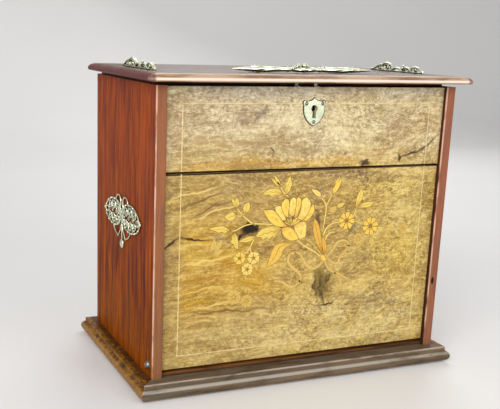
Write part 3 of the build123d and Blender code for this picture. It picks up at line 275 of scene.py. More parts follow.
# %% Patch, warp and fibre groups
patch, given = shader_group(
    "colour_patch",
    [("Vector", "Vector", (0, 0, 0)), ("Centre", "Vector", (0, 0, 0)), ("Size", "Vector", (1, 1, 1)),
     ("Turn", "Float", 0.0), ("Softness", "Float", 0.5)],
    [("Mask", "Float")],
)
offset = vector_calc(patch, "SUBTRACT", given["Vector"], given["Centre"])
reach = length(patch, vector_calc(patch, "DIVIDE", swung(patch, offset, given["Turn"]), given["Size"]))
inner = calc(patch, "SUBTRACT", 1.0, given["Softness"])
outer = calc(patch, "ADD", 1.0, given["Softness"])
group_result(patch, Mask=spread(patch, reach, inner, outer, 1.0, 0.0))

warp, given = shader_group(
    "wandering",
    [("Vector", "Vector", (0, 0, 0)), ("Scale", "Float", 20.0), ("Amount", "Float", 0.01)],
    [("Vector", "Vector")],
)
cloud = put(warp, "ShaderNodeTexNoise", {"Vector": given["Vector"], "Scale": given["Scale"],
                                         "Detail": 3.0}).outputs["Color"]
centred = vector_calc(warp, "SUBTRACT", cloud, (0.5, 0.5, 0.5))
moved = put(warp, "ShaderNodeVectorMath", {0: centred, "Scale": given["Amount"]}, operation="SCALE")
group_result(warp, Vector=vector_calc(warp, "ADD", given["Vector"], moved.outputs[0]))

fibre, given = shader_group(
    "wood_fibre",
    [("Vector", "Vector", (0, 0, 0)), ("Stretch", "Vector", (60, 60, 4)), ("Coarseness", "Float", 1.0)],
    [("Streak", "Float"), ("Pore", "Float")],
)
drawn = vector_calc(fibre, "MULTIPLY", given["Vector"], given["Stretch"])
streak = noise(fibre, drawn, given["Coarseness"], 6.0, 0.6, 0.6)
fine = calc(fibre, "MULTIPLY", given["Coarseness"], 14.0)
speck = noise(fibre, drawn, fine, 2.0, 0.5)
group_result(fibre, Streak=spread(fibre, streak, 0.38, 0.60), Pore=spread(fibre, speck, 0.58, 0.72))


def wander(tree, vector, scale, amount):
    """The vector moved about by the warp; scale says how fine, amount how far in metres."""
    return use(tree, warp, {"Vector": vector, "Scale": scale, "Amount": amount})["Vector"]


print("groups:", [g.name for g in bpy.data.node_groups])

# %% [markdown]
# ## The golden veneer
# The two front panels are faced with figured walnut that light has bleached: nearly straw at
# the upper left, amber beside the flowers, greyer at the right and at the foot. The pale, greyish
# colour over the upper panel is partly a painted reflection. The colour is laid down from broad
# to fine. First come clouds of colour with wandering edges. Each has a centre, a half size and a
# colour, in millimetres from the middle of the face and up from the top of the plinth.

# %% Veneer, clouds of colour
veneer, tree, surface, place = new_finish("figured_veneer")
wandered = wander(tree, place, 14.0, 0.03)


def tint_patch(colour_so_far, centre, size, colour, angle=0.0, soft=0.6, source=wandered):
    """Lay one patch of colour on the face; centre and size are x and z in millimetres."""
    mask = use(tree, patch, {
        "Vector": source,
        "Centre": (centre[0] * MM, panel_face, centre[1] * MM + plinth_top),
        "Size": (size[0] * MM, 1.0, size[1] * MM),
        "Turn": math.radians(angle), "Softness": soft})["Mask"]
    return mix(tree, mask, colour_so_far, colour)


colour = (0.54, 0.375, 0.105, 1)
BROAD = [
    # the first five clouds, pale and greyish over the upper panel, are partly a painted reflection
    ((0, 275), (200, 60), (0.58, 0.45, 0.23, 1)),
    ((-90, 272), (70, 26), (0.62, 0.50, 0.32, 1)),
    ((-20, 256), (60, 44), (0.68, 0.57, 0.34, 1)),
    ((70, 262), (40, 26), (0.70, 0.57, 0.29, 1)),
    ((0, 294), (190, 12), (0.52, 0.48, 0.40, 1)),
    ((124, 232), (44, 34), (0.50, 0.33, 0.11, 1)),
    ((-100, 98), (74, 62), (0.52, 0.28, 0.018, 1)),
    ((-80, 58), (80, 18), (0.38, 0.22, 0.05, 1)),
    ((-110, 24), (80, 30), (0.47, 0.34, 0.14, 1)),
    ((-110, 188), (50, 26), (0.40, 0.26, 0.075, 1)),
    ((-40, 185), (80, 34), (0.36, 0.22, 0.075, 1)),
    ((30, 145), (60, 40), (0.40, 0.25, 0.08, 1)),
    ((100, 70), (80, 60), (0.50, 0.35, 0.12, 1)),
    ((126, 158), (36, 56), (0.66, 0.50, 0.19, 1)),
    ((120, 110), (50, 24), (0.60, 0.42, 0.09, 1)),
    ((-112, 103), (30, 16), (0.46, 0.23, 0.025, 1)),
    ((121, 32), (50, 24), (0.54, 0.43, 0.20, 1)),
    ((-85, 216), (60, 7), (0.56, 0.32, 0.06, 1)),
    ((0, 213), (70, 6), (0.55, 0.31, 0.05, 1)),
    ((30, 40), (90, 34), (0.66, 0.52, 0.24, 1)),
    ((110, 30), (60, 26), (0.62, 0.50, 0.24, 1)),
    ((-90, 200), (80, 10), (0.34, 0.22, 0.07, 1)),
    ((-158, 110), (19, 150), (0.30, 0.19, 0.07, 1)),
    ((-160, 265), (14, 50), (0.42, 0.29, 0.15, 1)),
    ((158, 100), (17, 110), (0.36, 0.25, 0.09, 1)),
]
for centre, size, shade in BROAD:
    colour = tint_patch(colour, centre, size, shade)
print(len(BROAD), "clouds of colour")

# %% [markdown]
# Where the figure is dense the veneer is dark. A finer, stronger warp makes these shadows
# ragged. Each has a centre, a half size, a lean in degrees and a colour.

# %% Veneer, ragged shadows
ragged = wander(tree, place, 210.0, 0.011)
SHADOWS = [
    ((-71, 262), (17, 8), 20, (0.27, 0.17, 0.12, 1)),
    ((-57, 267), (8, 3), 30, (0.17, 0.14, 0.12, 1)),
    ((-26, 234), (13, 5), 0, (0.36, 0.31, 0.22, 1)),
    ((-136, 268), (20, 12), 0, (0.34, 0.23, 0.12, 1)),
    ((51, 200), (44, 7), -4, (0.17, 0.10, 0.06, 1)),
    ((58, 143), (9, 6), 10, (0.12, 0.09, 0.05, 1)),
    ((12, 175), (12, 20), 0, (0.26, 0.16, 0.08, 1)),
    ((-70, 190), (24, 14), -10, (0.27, 0.17, 0.09, 1)),
    ((-51, 124), (14, 9), 20, (0.27, 0.15, 0.05, 1)),
    ((-97, 139), (10, 6), -20, (0.20, 0.12, 0.06, 1)),
    ((60, 102), (30, 12), 30, (0.30, 0.20, 0.09, 1)),
    ((88, 59), (34, 8), -14, (0.30, 0.22, 0.12, 1)),
    ((-20, 96), (18, 10), 0, (0.34, 0.21, 0.07, 1)),
    ((141, 232), (5, 22), 0, (0.22, 0.14, 0.08, 1)),
    ((22, 84), (9, 17), 6, (0.13, 0.085, 0.04, 1)),
    ((104, 250), (22, 12), 30, (0.37, 0.22, 0.08, 1)),
    ((-40, 236), (34, 14), 0, (0.44, 0.31, 0.13, 1)),
    ((-110, 232), (30, 10), 0, (0.42, 0.28, 0.10, 1)),
]
for centre, size, angle, shade in SHADOWS:
    colour = tint_patch(colour, centre, size, shade, angle, 0.75, ragged)
print(len(SHADOWS), "shadows")

# %% [markdown]
# The grain itself is a list of noises, each drawn out its own way, with its own fineness and
# tone. Most run level; at the right some are slanted like flames, and a calm place at the
# left has the long level bands at their strongest. The darkest specks gather in clusters.

# %% Veneer, grain
drifting = wander(tree, place, 11.0, 0.026)
slanted = swung(tree, drifting, math.radians(38))
at = axes(tree, place)
calm = use(tree, patch, {"Vector": drifting, "Centre": (-0.11, panel_face, plinth_top + 0.11),
                         "Size": (0.07, 1.0, 0.13), "Softness": 0.5})["Mask"]
wild = calc(tree, "SUBTRACT", 1.0, product(tree, calm, 0.4))
banded = calc(tree, "ADD", 0.60, product(tree, calm, 0.22))
flamed = product(tree, spread(tree, at["X"], 0.02, 0.10), wild)
thick = product(tree, wild, spread(tree, noise(tree, drifting, 34.0, 3.0, 0.6), 0.36, 0.62, 0.35, 1.0))
above = spread(tree, at["Z"], plinth_top + 0.185, plinth_top + 0.25)
BROWN = mix(tree, above, (0.22, 0.11, 0.010, 1), (0.26, 0.165, 0.065, 1))
UMBER = mix(tree, above, (0.13, 0.07, 0.014, 1), (0.19, 0.125, 0.06, 1))
CREAM = mix(tree, above, (0.82, 0.61, 0.19, 1), (0.82, 0.71, 0.44, 1))
# source, stretch, scale, roughness, distortion, limits, share, tone, where it is strongest
FIGURE = [
    (drifting, (0.5, 1, 1), 22.0, 0.60, 1.0, (0.46, 0.62), 0.40, BROWN, wild),
    (drifting, (0.5, 1, 1), 31.0, 0.60, 1.0, (0.50, 0.62), 0.34, CREAM, wild),
    (drifting, (0.6, 1, 1), 70.0, 0.70, 1.4, (0.47, 0.62), 0.36, BROWN, wild),
    (slanted, (0.16, 1, 1), 120.0, 0.72, 0.4, (0.48, 0.62), 0.45, CREAM, flamed),
    (slanted, (0.16, 1, 1), 150.0, 0.72, 0.4, (0.50, 0.64), 0.45, BROWN, flamed),
    (drifting, (0.09, 1, 1), 190.0, 0.75, 0.5, (0.46, 0.62), 0.46, CREAM, banded),
    (drifting, (0.09, 1, 1), 260.0, 0.75, 0.5, (0.46, 0.62), 0.66, BROWN, banded),
    (drifting, (0.5, 1, 1), 210.0, 0.80, 1.1, (0.48, 0.62), 0.46, BROWN, thick),
    (drifting, (0.45, 1, 1), 330.0, 0.80, 0.6, (0.47, 0.62), 0.62, CREAM, wild),
    (drifting, (1, 1, 0.4), 340.0, 0.80, 0.2, (0.48, 0.62), 0.44, BROWN, thick),
    (drifting, (0.55, 1, 0.9), 400.0, 0.80, 0.2, (0.46, 0.62), 0.80, UMBER, thick),
]
for source, stretch, scale, roughness, bend, (low, high), share, shade, where in FIGURE:
    figure = long_noise(tree, source, stretch, scale, 5.0, roughness, bend)
    layer = product(tree, spread(tree, figure, low, high), where, share)
    colour = mix(tree, layer, colour, shade)
print(len(FIGURE), "layers of grain")

# %% [markdown]
# Last come the marks that can be seen one by one: cracks, knots with a dark hollow, and single
# pale and dark streaks. Each also has its own softness and warp. A dark line of painted shade
# fills the gap between the two panels and is wider towards the left.

# %% Veneer, cracks and joint
torn = wander(tree, place, 150.0, 0.020)
waved = wander(tree, place, 45.0, 0.014)
CRACKS = [
    ((-68, 146), (16, 7.0), 14, (0.16, 0.09, 0.02, 1), 0.7, torn),
    ((-64, 149), (9, 4.0), 16, (0.014, 0.009, 0.005, 1), 0.45, torn),
    ((-78, 140), (8, 2.4), 34, (0.03, 0.018, 0.008, 1), 0.6, torn),
    ((-153, 137), (10, 1.0), 26, (0.05, 0.026, 0.010, 1), 0.6, waved),
    ((-128, 142), (20, 0.9), -2, (0.05, 0.026, 0.010, 1), 0.6, waved),
    ((-118, 181), (27, 1.3), 14, (0.17, 0.10, 0.030, 1), 0.8, waved),
    ((-106, 173), (24, 1.1), 22, (0.19, 0.11, 0.035, 1), 0.8, waved),
    ((-128, 189), (24, 0.8), 12, (0.66, 0.49, 0.17, 1), 0.9, waved),
    ((-100, 169), (28, 0.9), 16, (0.68, 0.50, 0.17, 1), 0.9, waved),
    ((-112, 118), (28, 0.8), 8, (0.72, 0.49, 0.12, 1), 0.9, waved),
    ((-118, 88), (24, 0.8), 8, (0.66, 0.44, 0.10, 1), 0.9, waved),
    ((-96, 72), (30, 0.8), 3, (0.66, 0.46, 0.14, 1), 0.9, waved),
    ((-90, 64), (40, 1.2), -2, (0.20, 0.11, 0.025, 1), 0.8, waved),
    ((22, 87), (9, 17), 8, (0.21, 0.135, 0.035, 1), 0.75, torn),
    ((15, 84), (1.8, 13), 10, (0.09, 0.055, 0.016, 1), 0.9, torn),
    ((22, 78), (2.2, 13), 4, (0.06, 0.038, 0.012, 1), 0.9, torn),
    ((27, 88), (1.5, 12), 2, (0.09, 0.055, 0.016, 1), 0.9, torn),
    ((31, 61), (11, 0.9), 14, (0.06, 0.03, 0.012, 1), 0.6, waved),
    ((25, 68), (1.1, 7), 12, (0.07, 0.04, 0.016, 1), 0.6, waved),
    ((124, 222), (15, 1.1), 22, (0.06, 0.034, 0.016, 1), 0.6, waved),
    ((144, 231), (14, 1.0), 36, (0.07, 0.04, 0.02, 1), 0.6, waved),
    ((108, 217), (2.0, 4.5), 14, (0.06, 0.035, 0.018, 1), 0.4, ragged),
    ((65, 213), (6, 3.0), 0, (0.07, 0.04, 0.025, 1), 0.6, ragged),
    ((-44, 229), (0.9, 4), 20, (0.07, 0.045, 0.03, 1), 0.5, ragged),
    ((60, 202), (1.4, 6), 24, (0.15, 0.09, 0.045, 1), 0.9, torn),
    ((70, 199), (1.2, 6), 22, (0.15, 0.09, 0.045, 1), 0.9, torn),
    ((-10, 142), (14, 3.4), -12, (0.13, 0.07, 0.03, 1), 0.7, ragged),
    ((12, 152), (3.4, 9), 0, (0.12, 0.065, 0.03, 1), 0.7, ragged),
]
for centre, size, angle, shade, soft, source in CRACKS:
    colour = tint_patch(colour, centre, size, shade, angle, soft, source)
# painted shade in the gap between the two panels, wider towards the left
from_joint = distance(tree, at["Z"], fall_top + 0.3 * MM)
half_joint = spread(tree, at["X"], 0.17, -0.17, 0.5 * MM, 1.5 * MM)
joint_shade = spread(tree, calc(tree, "SUBTRACT", from_joint, half_joint), 0.1 * MM, -0.1 * MM)
near_face = spread(tree, at["Y"], panel_face + 1.4 * MM, panel_face + 0.6 * MM)
colour = lay(tree, colour, (0.022, 0.013, 0.008, 1), joint_shade, near_face)
fill(tree, surface, {"Base Color": colour, "Specular IOR Level": 0.15,
                     "Roughness": spread(tree, layer, 0.0, 1.0, 0.36, 0.46)})
bump(tree, surface, layer, -0.06 * MM, 0.3)
print(len(CRACKS), "single marks")

# %% [markdown]
# ## Red walnut of the case
# The woods of the case, the mouldings and the inside are plain and straight-grained. One
# function makes all three: the fibre group gives streaks and pores, two tones are mixed by the
# streaks, and broader dark bands go over them. The inside needs no more than that.

# %% Plain woods
def plain_wood(name, dark, light, stretch, coarseness, gloss, sheen):
    """Straight-grained wood finish; returns what later cells may add to."""
    material, tree, surface, place = new_finish(name)
    drifting = wander(tree, place, 7.0, 0.02)
    lines = use(tree, fibre, {"Vector": drifting, "Stretch": stretch, "Coarseness": coarseness})
    tone = mix(tree, lines["Streak"], dark, light)
    broad = spread(tree, long_noise(tree, drifting, stretch, coarseness * 0.3, 2.0), 0.42, 0.62)
    tone = lay(tree, tone, dark, broad, 0.35)
    tone = lay(tree, tone, [c * 0.3 for c in dark[:3]] + [1], lines["Pore"], 0.45)
    fill(tree, surface, {"Base Color": tone, "Specular IOR Level": sheen,
                         "Roughness": spread(tree, lines["Streak"], 0.0, 1.0, gloss, gloss + 0.1)})
    bump(tree, surface, lines["Pore"], -0.08 * MM, 0.4)
    return material, tree, surface, place, tone


LEVEL = (0.035, 1, 1)
UPRIGHT = (1, 1, 0.05)
inner_wood = plain_wood(
    "inner_mahogany", (0.15, 0.056, 0.020, 1), (0.26, 0.11, 0.038, 1), LEVEL, 190.0, 0.45, 0.3)[0]

# %% [markdown]
# The sides are boards with upright grain, french-polished to a red brown that is more orange
# towards the foot, with long light shafts and fine dark strands. The front edges of the
# boards stand beside the panels as stiles. Those are faded, with a painted highlight along the
# left arris of each and painted shade where the panels meet them; the right one has a small knot.

# %% Case walnut
case_wood, tree, surface, place, tone = plain_wood(
    "case_walnut", (0.085, 0.010, 0.001, 1), (0.39, 0.082, 0.003, 1), UPRIGHT, 190.0, 0.36, 0.012)
at = axes(tree, place)
tone = lay(tree, tone, (0.35, 0.070, 0.045, 1), spread(tree, at["Z"], 0.05, 0.26), 0.35)
tone = lay(tree, tone, (0.23, 0.062, 0.001, 1), spread(tree, at["Z"], 0.12, 0.04), 0.4)
shafts = long_noise(tree, place, (1, 1, 0.13), 80.0, 5.0, 0.75, 0.6)
tone = lay(tree, tone, (0.44, 0.115, 0.006, 1), spread(tree, shafts, 0.48, 0.66), 0.40)
strands = long_noise(tree, place, (1, 1, 0.06), 270.0, 5.0, 0.75, 0.3)
tone = lay(tree, tone, (0.08, 0.011, 0.002, 1), spread(tree, strands, 0.46, 0.62), 0.46)

stile = spread(tree, at["Y"], case_front + 1.6 * MM, case_front + 0.4 * MM)
faded = mix(tree, spread(tree, at["X"], -0.02, 0.02), (0.25, 0.125, 0.068, 1), (0.26, 0.12, 0.075, 1))
tone = lay(tree, tone, faded, stile, 0.66)
from_knot = vector_calc(tree, "SUBTRACT", place, (163.5 * MM, case_front, plinth_top + 77 * MM))
knot = length(tree, vector_calc(tree, "MULTIPLY", from_knot, (1, 0, 0.45)))
tone = lay(tree, tone, (0.03, 0.012, 0.006, 1), spread(tree, knot, 2.6 * MM, 1.2 * MM), stile)

panel_edge = side_out - BOARD
# painted shade on the stiles where the panels meet them
shade_beside_panels = spread(tree, distance(tree, calc(tree, "ABSOLUTE", at["X"]), panel_edge), 0.5 * MM, 0.3 * MM)
behind = spread(tree, at["Y"], case_front + 0.2 * MM, case_front + 0.8 * MM)
tone = lay(tree, tone, (0.030, 0.016, 0.012, 1), shade_beside_panels, behind, 0.85)
# painted highlight along the left arris of each stile, broken up by noise
rubbed = spread(tree, long_noise(tree, place, (1, 1, 0.3), 90.0), 0.34, 0.56)
for arris in (-side_out, panel_edge):
    arris_highlight = product(tree, spread(tree, distance(tree, at["X"], arris), 1.6 * MM, 0.7 * MM),
                         spread(tree, at["Y"], case_front + 1.6 * MM, case_front + 0.8 * MM))
    tone = lay(tree, tone, (0.66, 0.42, 0.30, 1), arris_highlight, rubbed, 0.85)
fill(tree, surface, {"Base Color": tone})
print("case walnut:", len(tree.nodes), "nodes")

# %% [markdown]
# The mouldings of lid and plinth are a darker walnut. The lid's front edge carries a painted
# reflection, with a painted highlight along its nosing, and its ends are reddish. The sides of
# the plinth are tan as far as the mitre and paler on the nose, and its front has a painted
# greyish reflection. Pale lines of painted highlight follow the ledge, the nose and the foot,
# and a pale line follows the mitre.

# %% Moulding walnut
moulding_wood, tree, surface, place, tone = plain_wood(
    "moulding_walnut", (0.040, 0.014, 0.005, 1), (0.15, 0.058, 0.015, 1), LEVEL, 210.0, 0.28, 0.045)
at = axes(tree, place)
over = calc(tree, "SUBTRACT", calc(tree, "ABSOLUTE", at["X"]), side_out)
fore = calc(tree, "SUBTRACT", case_front, at["Y"])
worn = spread(tree, long_noise(tree, place, (0.25, 1, 1), 60.0, 4.0, 0.65), 0.34, 0.56)

on_lid_edge = spread(tree, at["Z"], lid_edge - 0.5 * MM, lid_edge)
lid_nosing = product(tree, spread(tree, at["Y"], lid_front + 10.5 * MM, lid_front + 8.5 * MM), on_lid_edge)
# painted reflection on the lid's front edge
lid_front_reflection = mix(tree, worn, (0.26, 0.14, 0.07, 1), (0.50, 0.34, 0.22, 1))
tone = lay(tree, tone, lid_front_reflection, lid_nosing, 0.9)
# painted highlight along the lid's nosing
tip = band(tree, at["Z"], *(lid_edge + height * MM for height in (0.9, 1.7, 3.3, 4.3)))
tone = lay(tree, tone, (0.74, 0.60, 0.50, 1), tip, lid_nosing)
tone = lay(tree, tone, (0.12, 0.022, 0.022, 1), spread(tree, over, 4 * MM, 7 * MM), on_lid_edge, 0.75)

on_plinth = spread(tree, at["Z"], plinth_top + 2 * MM, plinth_top)
plinth_side = product(tree, on_plinth, spread(tree, calc(tree, "SUBTRACT", over, fore), -0.2 * MM, 0.2 * MM))
plinth_fore = calc(tree, "SUBTRACT", on_plinth, plinth_side)
# painted greyish reflection on the plinth's front
plinth_front_reflection = mix(tree, worn, (0.085, 0.075, 0.050, 1), (0.18, 0.155, 0.11, 1))
tone = lay(tree, tone, plinth_front_reflection, plinth_fore, 0.55)
blotch = spread(tree, noise(tree, place, 150.0, 5.0, 0.7), 0.40, 0.60)
tan = mix(tree, blotch, (0.075, 0.028, 0.005, 1), (0.30, 0.135, 0.016, 1))
tone = lay(tree, tone, tan, spread(tree, over, 5.4 * MM, 6.6 * MM), plinth_side, 0.9)
tone = lay(tree, tone, (0.38, 0.19, 0.05, 1), spread(tree, over, 13.6 * MM, 14.6 * MM), plinth_side, 0.5)

# painted highlight along the edge of the ledge
ledge_highlight = product(tree, spread(tree, at["Z"], plinth_top - 1.8 * MM, plinth_top - 0.9 * MM), on_plinth,
                spread(tree, fore, 9.6 * MM, 10.6 * MM))
tone = lay(tree, tone, (0.42, 0.34, 0.27, 1), ledge_highlight, worn, 0.8)
# painted highlight along the plinth's nose, broken up by noise
nose_highlight = band(tree, at["Z"], 9.2 * MM, 10.4 * MM, 12.0 * MM, 13.0 * MM)
tone = lay(tree, tone, (0.40, 0.37, 0.31, 1), nose_highlight, spread(tree, worn, -0.6, 0.8), plinth_fore, 0.7)
# painted highlight along the foot of the plinth
foot_highlight = spread(tree, at["Z"], 3.2 * MM, 2.0 * MM)
tone = lay(tree, tone, (0.46, 0.26, 0.14, 1), foot_highlight, worn, 0.6)
mitre = spread(tree, distance(tree, over, fore), 0.7 * MM, 0.3 * MM)
tone = lay(tree, tone, (0.40, 0.27, 0.17, 1), mitre, on_plinth, worn, 0.6)
fill(tree, surface, {"Base Color": tone})
print("moulding walnut:", len(tree.nodes), "nodes")

# %% [markdown]
# ## Brass, steel, glass and leather
# The brass is pale and worn: bright where fingers and polish reach, dark in the hollows. An
# ambient-occlusion node finds the hollows of a casting, and noise breaks the line up. The
# steel serves the lock, its link plate, the pins of the keyhole plate and the screws that the
# fall turns on. The ink glass is clear, and the leather is a dark green skiver.

# %% Metal, glass and leather finishes
def aged_metal(name, bright, dull, hollow, gloss):
    """Metal that is bright on its high places and dull in its hollows."""
    material, tree, surface, place = new_finish(name)
    depth = put(tree, "ShaderNodeAmbientOcclusion", {"Distance": 4 * MM}, samples=8).outputs["AO"]
    worn = spread(tree, noise(tree, place, 130.0, 4.0, 0.6), 0.40, 0.66)
    high = spread(tree, depth, 0.34, 0.80)
    fill(tree, surface, {"Base Color": mix(tree, high, hollow, lay(tree, bright, dull, worn, 0.6)),
                         "Metallic": 1.0, "Roughness": calc(tree, "ADD", product(tree, worn, 0.2), gloss)})
    bump(tree, surface, noise(tree, place, 420.0, 3.0), 0.06 * MM, 0.3)
    return material


brass = aged_metal(
    "aged_brass", (0.79, 0.82, 0.60, 1), (0.38, 0.42, 0.27, 1), (0.012, 0.022, 0.014, 1), 0.20)
steel = aged_metal(
    "lock_steel", (0.22, 0.21, 0.19, 1), (0.13, 0.12, 0.11, 1), (0.03, 0.025, 0.02, 1), 0.36)

glass, tree, surface, place = new_finish("ink_glass")
ripple = noise(tree, place, 60.0, 2.0)
fill(tree, surface, {"Base Color": (0.90, 0.97, 0.94, 1), "Transmission Weight": 1.0, "IOR": 1.5,
                     "Roughness": spread(tree, ripple, 0.3, 0.7, 0.02, 0.08)})
bump(tree, surface, ripple, 0.2 * MM, 0.15)

leather, tree, surface, place = new_finish("green_skiver")
pebble = put(tree, "ShaderNodeTexVoronoi", {"Vector": place, "Scale": 900.0}, feature="F1")
fade = spread(tree, noise(tree, place, 16.0, 4.0), 0.35, 0.7)
fill(tree, surface, {"Base Color": mix(tree, fade, (0.020, 0.050, 0.020, 1), (0.055, 0.085, 0.032, 1)),
                     "Roughness": spread(tree, fade, 0.0, 1.0, 0.42, 0.58)})
bump(tree, surface, pebble.outputs["Distance"], 0.1 * MM, 0.4)

# %% [markdown]
# ## Boxwood and the other inlay woods
# The lines round the panels are boxwood. The flowers are cut from satinwood, holly and dyed
# pearwood, shaded by dipping one end of each piece in hot sand, so a petal is bright at its
# tip and brown at its root. Each piece of inlay carries its own UV map, with U from root to
# tip and V from edge to edge, and its own tone, so one finish can shade and vein them all.
# The fourth number of the tone says whether the veins are a petal's lines or a leaf's.

# %% Inlay finishes
stringing, tree, surface, place = new_finish("boxwood_line")
short = noise(tree, place, 220.0, 3.0)
fill(tree, surface, {
    "Base Color": mix(tree, spread(tree, short, 0.25, 0.60), (0.46, 0.33, 0.12, 1), (0.70, 0.55, 0.26, 1)),
    "Roughness": spread(tree, short, 0.3, 0.7, 0.28, 0.40), "Specular IOR Level": 0.35})

inlay, tree, surface, place = new_finish("shaded_inlay")
along = axes(tree, put(tree, "ShaderNodeUVMap", uv_map="grain").outputs[0])
carried_tone = put(tree, "ShaderNodeAttribute", attribute_name="tone").outputs
own_tone = carried_tone["Color"]
across = calc(tree, "ABSOLUTE", along["Y"])
drawn = joined(tree, product(tree, along["X"], 1.2), product(tree, along["Y"], 7.0))
engraved = spread(tree, noise(tree, drawn, 2.2, 2.0), 0.52, 0.62)
root = spread(tree, along["X"], 0.42, 0.0)
mid_rib = spread(tree, across, 0.10, 0.02)
swept = calc(tree, "SUBTRACT", along["X"], product(tree, across, 0.35))
side_veins = spread(tree, calc(tree, "SINE", product(tree, swept, 44.0)), 0.75, 0.98)
leaf_lines = calc(tree, "MAXIMUM", mid_rib, product(tree, side_veins, 0.5))
lines = mix_values(tree, carried_tone["Alpha"], engraved, leaf_lines)
fine_grain = spread(tree, long_noise(tree, place, (1, 1, 2.5), 300.0), 0.3, 0.7)
burnt = mix(tree, 1.0, own_tone, (0.42, 0.22, 0.07, 1), "MULTIPLY")
tone = own_tone
for mask, share in ((root, 0.55), (lines, 0.85), (spread(tree, across, 0.80, 1.0), 0.5), (fine_grain, 0.25)):
    tone = lay(tree, tone, burnt, mask, share)
fill(tree, surface, {"Base Color": tone, "Roughness": spread(tree, fine_grain, 0.0, 1.0, 0.32, 0.44),
                     "Specular IOR Level": 0.35})

# dark finish for the glue in the inlay's saw cuts, used too for the painted shade round the fittings
glue_and_shade_finish, tree, surface, place = new_finish("glue_line_and_painted_shade")
glue_and_shade_mottle = spread(tree, noise(tree, place, 240.0, 2.0), 0.3, 0.7)
fill(tree, surface, {"Base Color": mix(tree, glue_and_shade_mottle, (0.055, 0.028, 0.010, 1), (0.16, 0.085, 0.028, 1)),
                     "Roughness": 0.42, "Specular IOR Level": 0.3})

# %% [markdown]
# The solids whose shapes are right keep their meshes and only change their finish.

# %% Dress the solids
finish_of_slot = {
    "case_walnut": case_wood, "burr_walnut": veneer, "moulding_walnut": moulding_wood,
    "inner_wood": inner_wood, "boxwood": stringing, "brass": brass, "lock_steel": steel,
    "ink_glass": glass, "skiver_leather": leather,
}
for part in frame["record"]["subparts"]:
    mesh = nodes[part["node"]].data
    mesh.materials.clear()
    mesh.materials.append(finish_of_slot[part["material_slot"]])

# %% [markdown]
# ## Cutting the inlay
# A marquetry cutter saws each leaf and petal from its own veneer along two edges that meet at
# a root and a tip. The same two edges draw it here: both are smoothed into curves, a small
# grid is stretched between them, and the grid is thickened into a thin tile. A slightly
# larger dark tile under each one stands for the line of glue in the saw cut. The tiles stand
# a little proud of a new sheet of veneer, as old inlay does.

# %% Curves and tiles
def smooth(points, count, sharp=False):
    """count + 1 points along a curve through the given ones, or along straight runs if sharp."""
    points = [Vector(p) for p in points]
    spans = len(points) - 1
    made = []
    for step in range(count + 1):
        place = step / count * spans
        first = min(int(place), spans - 1)
        t = place - first
        p1, p2 = points[first], points[first + 1]
        if sharp:
            made.append(p1.lerp(p2, t))
            continue
        p0 = points[first - 1] if first > 0 else 2 * p1 - p2
        p3 = points[first + 2] if first + 2 <= spans else 2 * p2 - p1
        made.append(0.5 * (2 * p1 + (p2 - p0) * t + (2 * p0 - 5 * p1 + 4 * p2 - p3) * t * t
                           + (3 * p1 - p0 - 3 * p2 + p3) * t * t * t))
    return made


def circle(count, closed=False):
    """Angles of equal steps round a circle, with the full turn as well if closed."""
    return [k * math.tau / count for k in range(count + closed)]


SHEET_RISE = 0.10 * MM  # the new sheet of veneer over the solid's face
TILE_RISE = 0.03 * MM  # each layer of inlay over the one below
TILE_THICK = 0.25 * MM
OUTLINE_THICK = 0.2 * MM
PATTERN = 8.0  # the drawing's squares to a millimetre
PATTERN_LEFT = -115.0  # millimetres from the middle of the fall
PATTERN_TOP = 205.0  # millimetres up from the top of the plinth
sheet_face = panel_face - SHEET_RISE
tiles = bmesh.new()
tile_uv = tiles.loops.layers.uv.new("grain")
tile_tone = tiles.verts.layers.float_color.new("tone")
outlines = bmesh.new()


def drawn_at(point):
    """Place in metres of a point of the drawing, which starts at the fall's upper left."""
    drawn = Vector((point[0] / PATTERN + PATTERN_LEFT, PATTERN_TOP - point[1] / PATTERN))
    return drawn * MM + Vector((0, plinth_top))


def lay_grid(mesh, rows, front, thick, tone=None, first=0.0):
    """Closed thin tile from rows of (x, z) places; front is its Y and first its U at the root."""
    a, b = layers = [[[mesh.verts.new((p.x, depth, p.y)) for p in row] for row in rows]
                     for depth in (front, front + thick)]
    if tone is not None:
        for layer in layers:
            for row in layer:
                for vert in row:
                    vert[tile_tone] = tone
    last_row, last_col = len(rows) - 1, len(rows[0]) - 1
    made = []
    for i in range(last_row):
        for j in range(last_col):
            made.append((mesh.faces.new((a[i][j], a[i + 1][j], a[i + 1][j + 1], a[i][j + 1])), i, j, 0))
            made.append((mesh.faces.new((b[i][j], b[i][j + 1], b[i + 1][j + 1], b[i + 1][j])), i, j, 1))
    rim = [(i, 0) for i in range(last_row)] + [(last_row, j) for j in range(last_col)]
    rim += [(i, last_col) for i in range(last_row, 0, -1)] + [(0, j) for j in range(last_col, 0, -1)]
    for (i, j), (k, m) in zip(rim, rim[1:] + rim[:1]):
        mesh.faces.new((a[k][m], a[i][j], b[i][j], b[k][m]))
    if tone is not None:
        for face, i, j, back in made:
            corners = [(i, j), (i + 1, j), (i + 1, j + 1), (i, j + 1)]
            if back:
                corners = [(i, j), (i, j + 1), (i + 1, j + 1), (i + 1, j)]
            for loop, (row, col) in zip(face.loops, corners):
                loop[tile_uv].uv = (first + (1 - first) * row / last_row, 2 * col / last_col - 1)


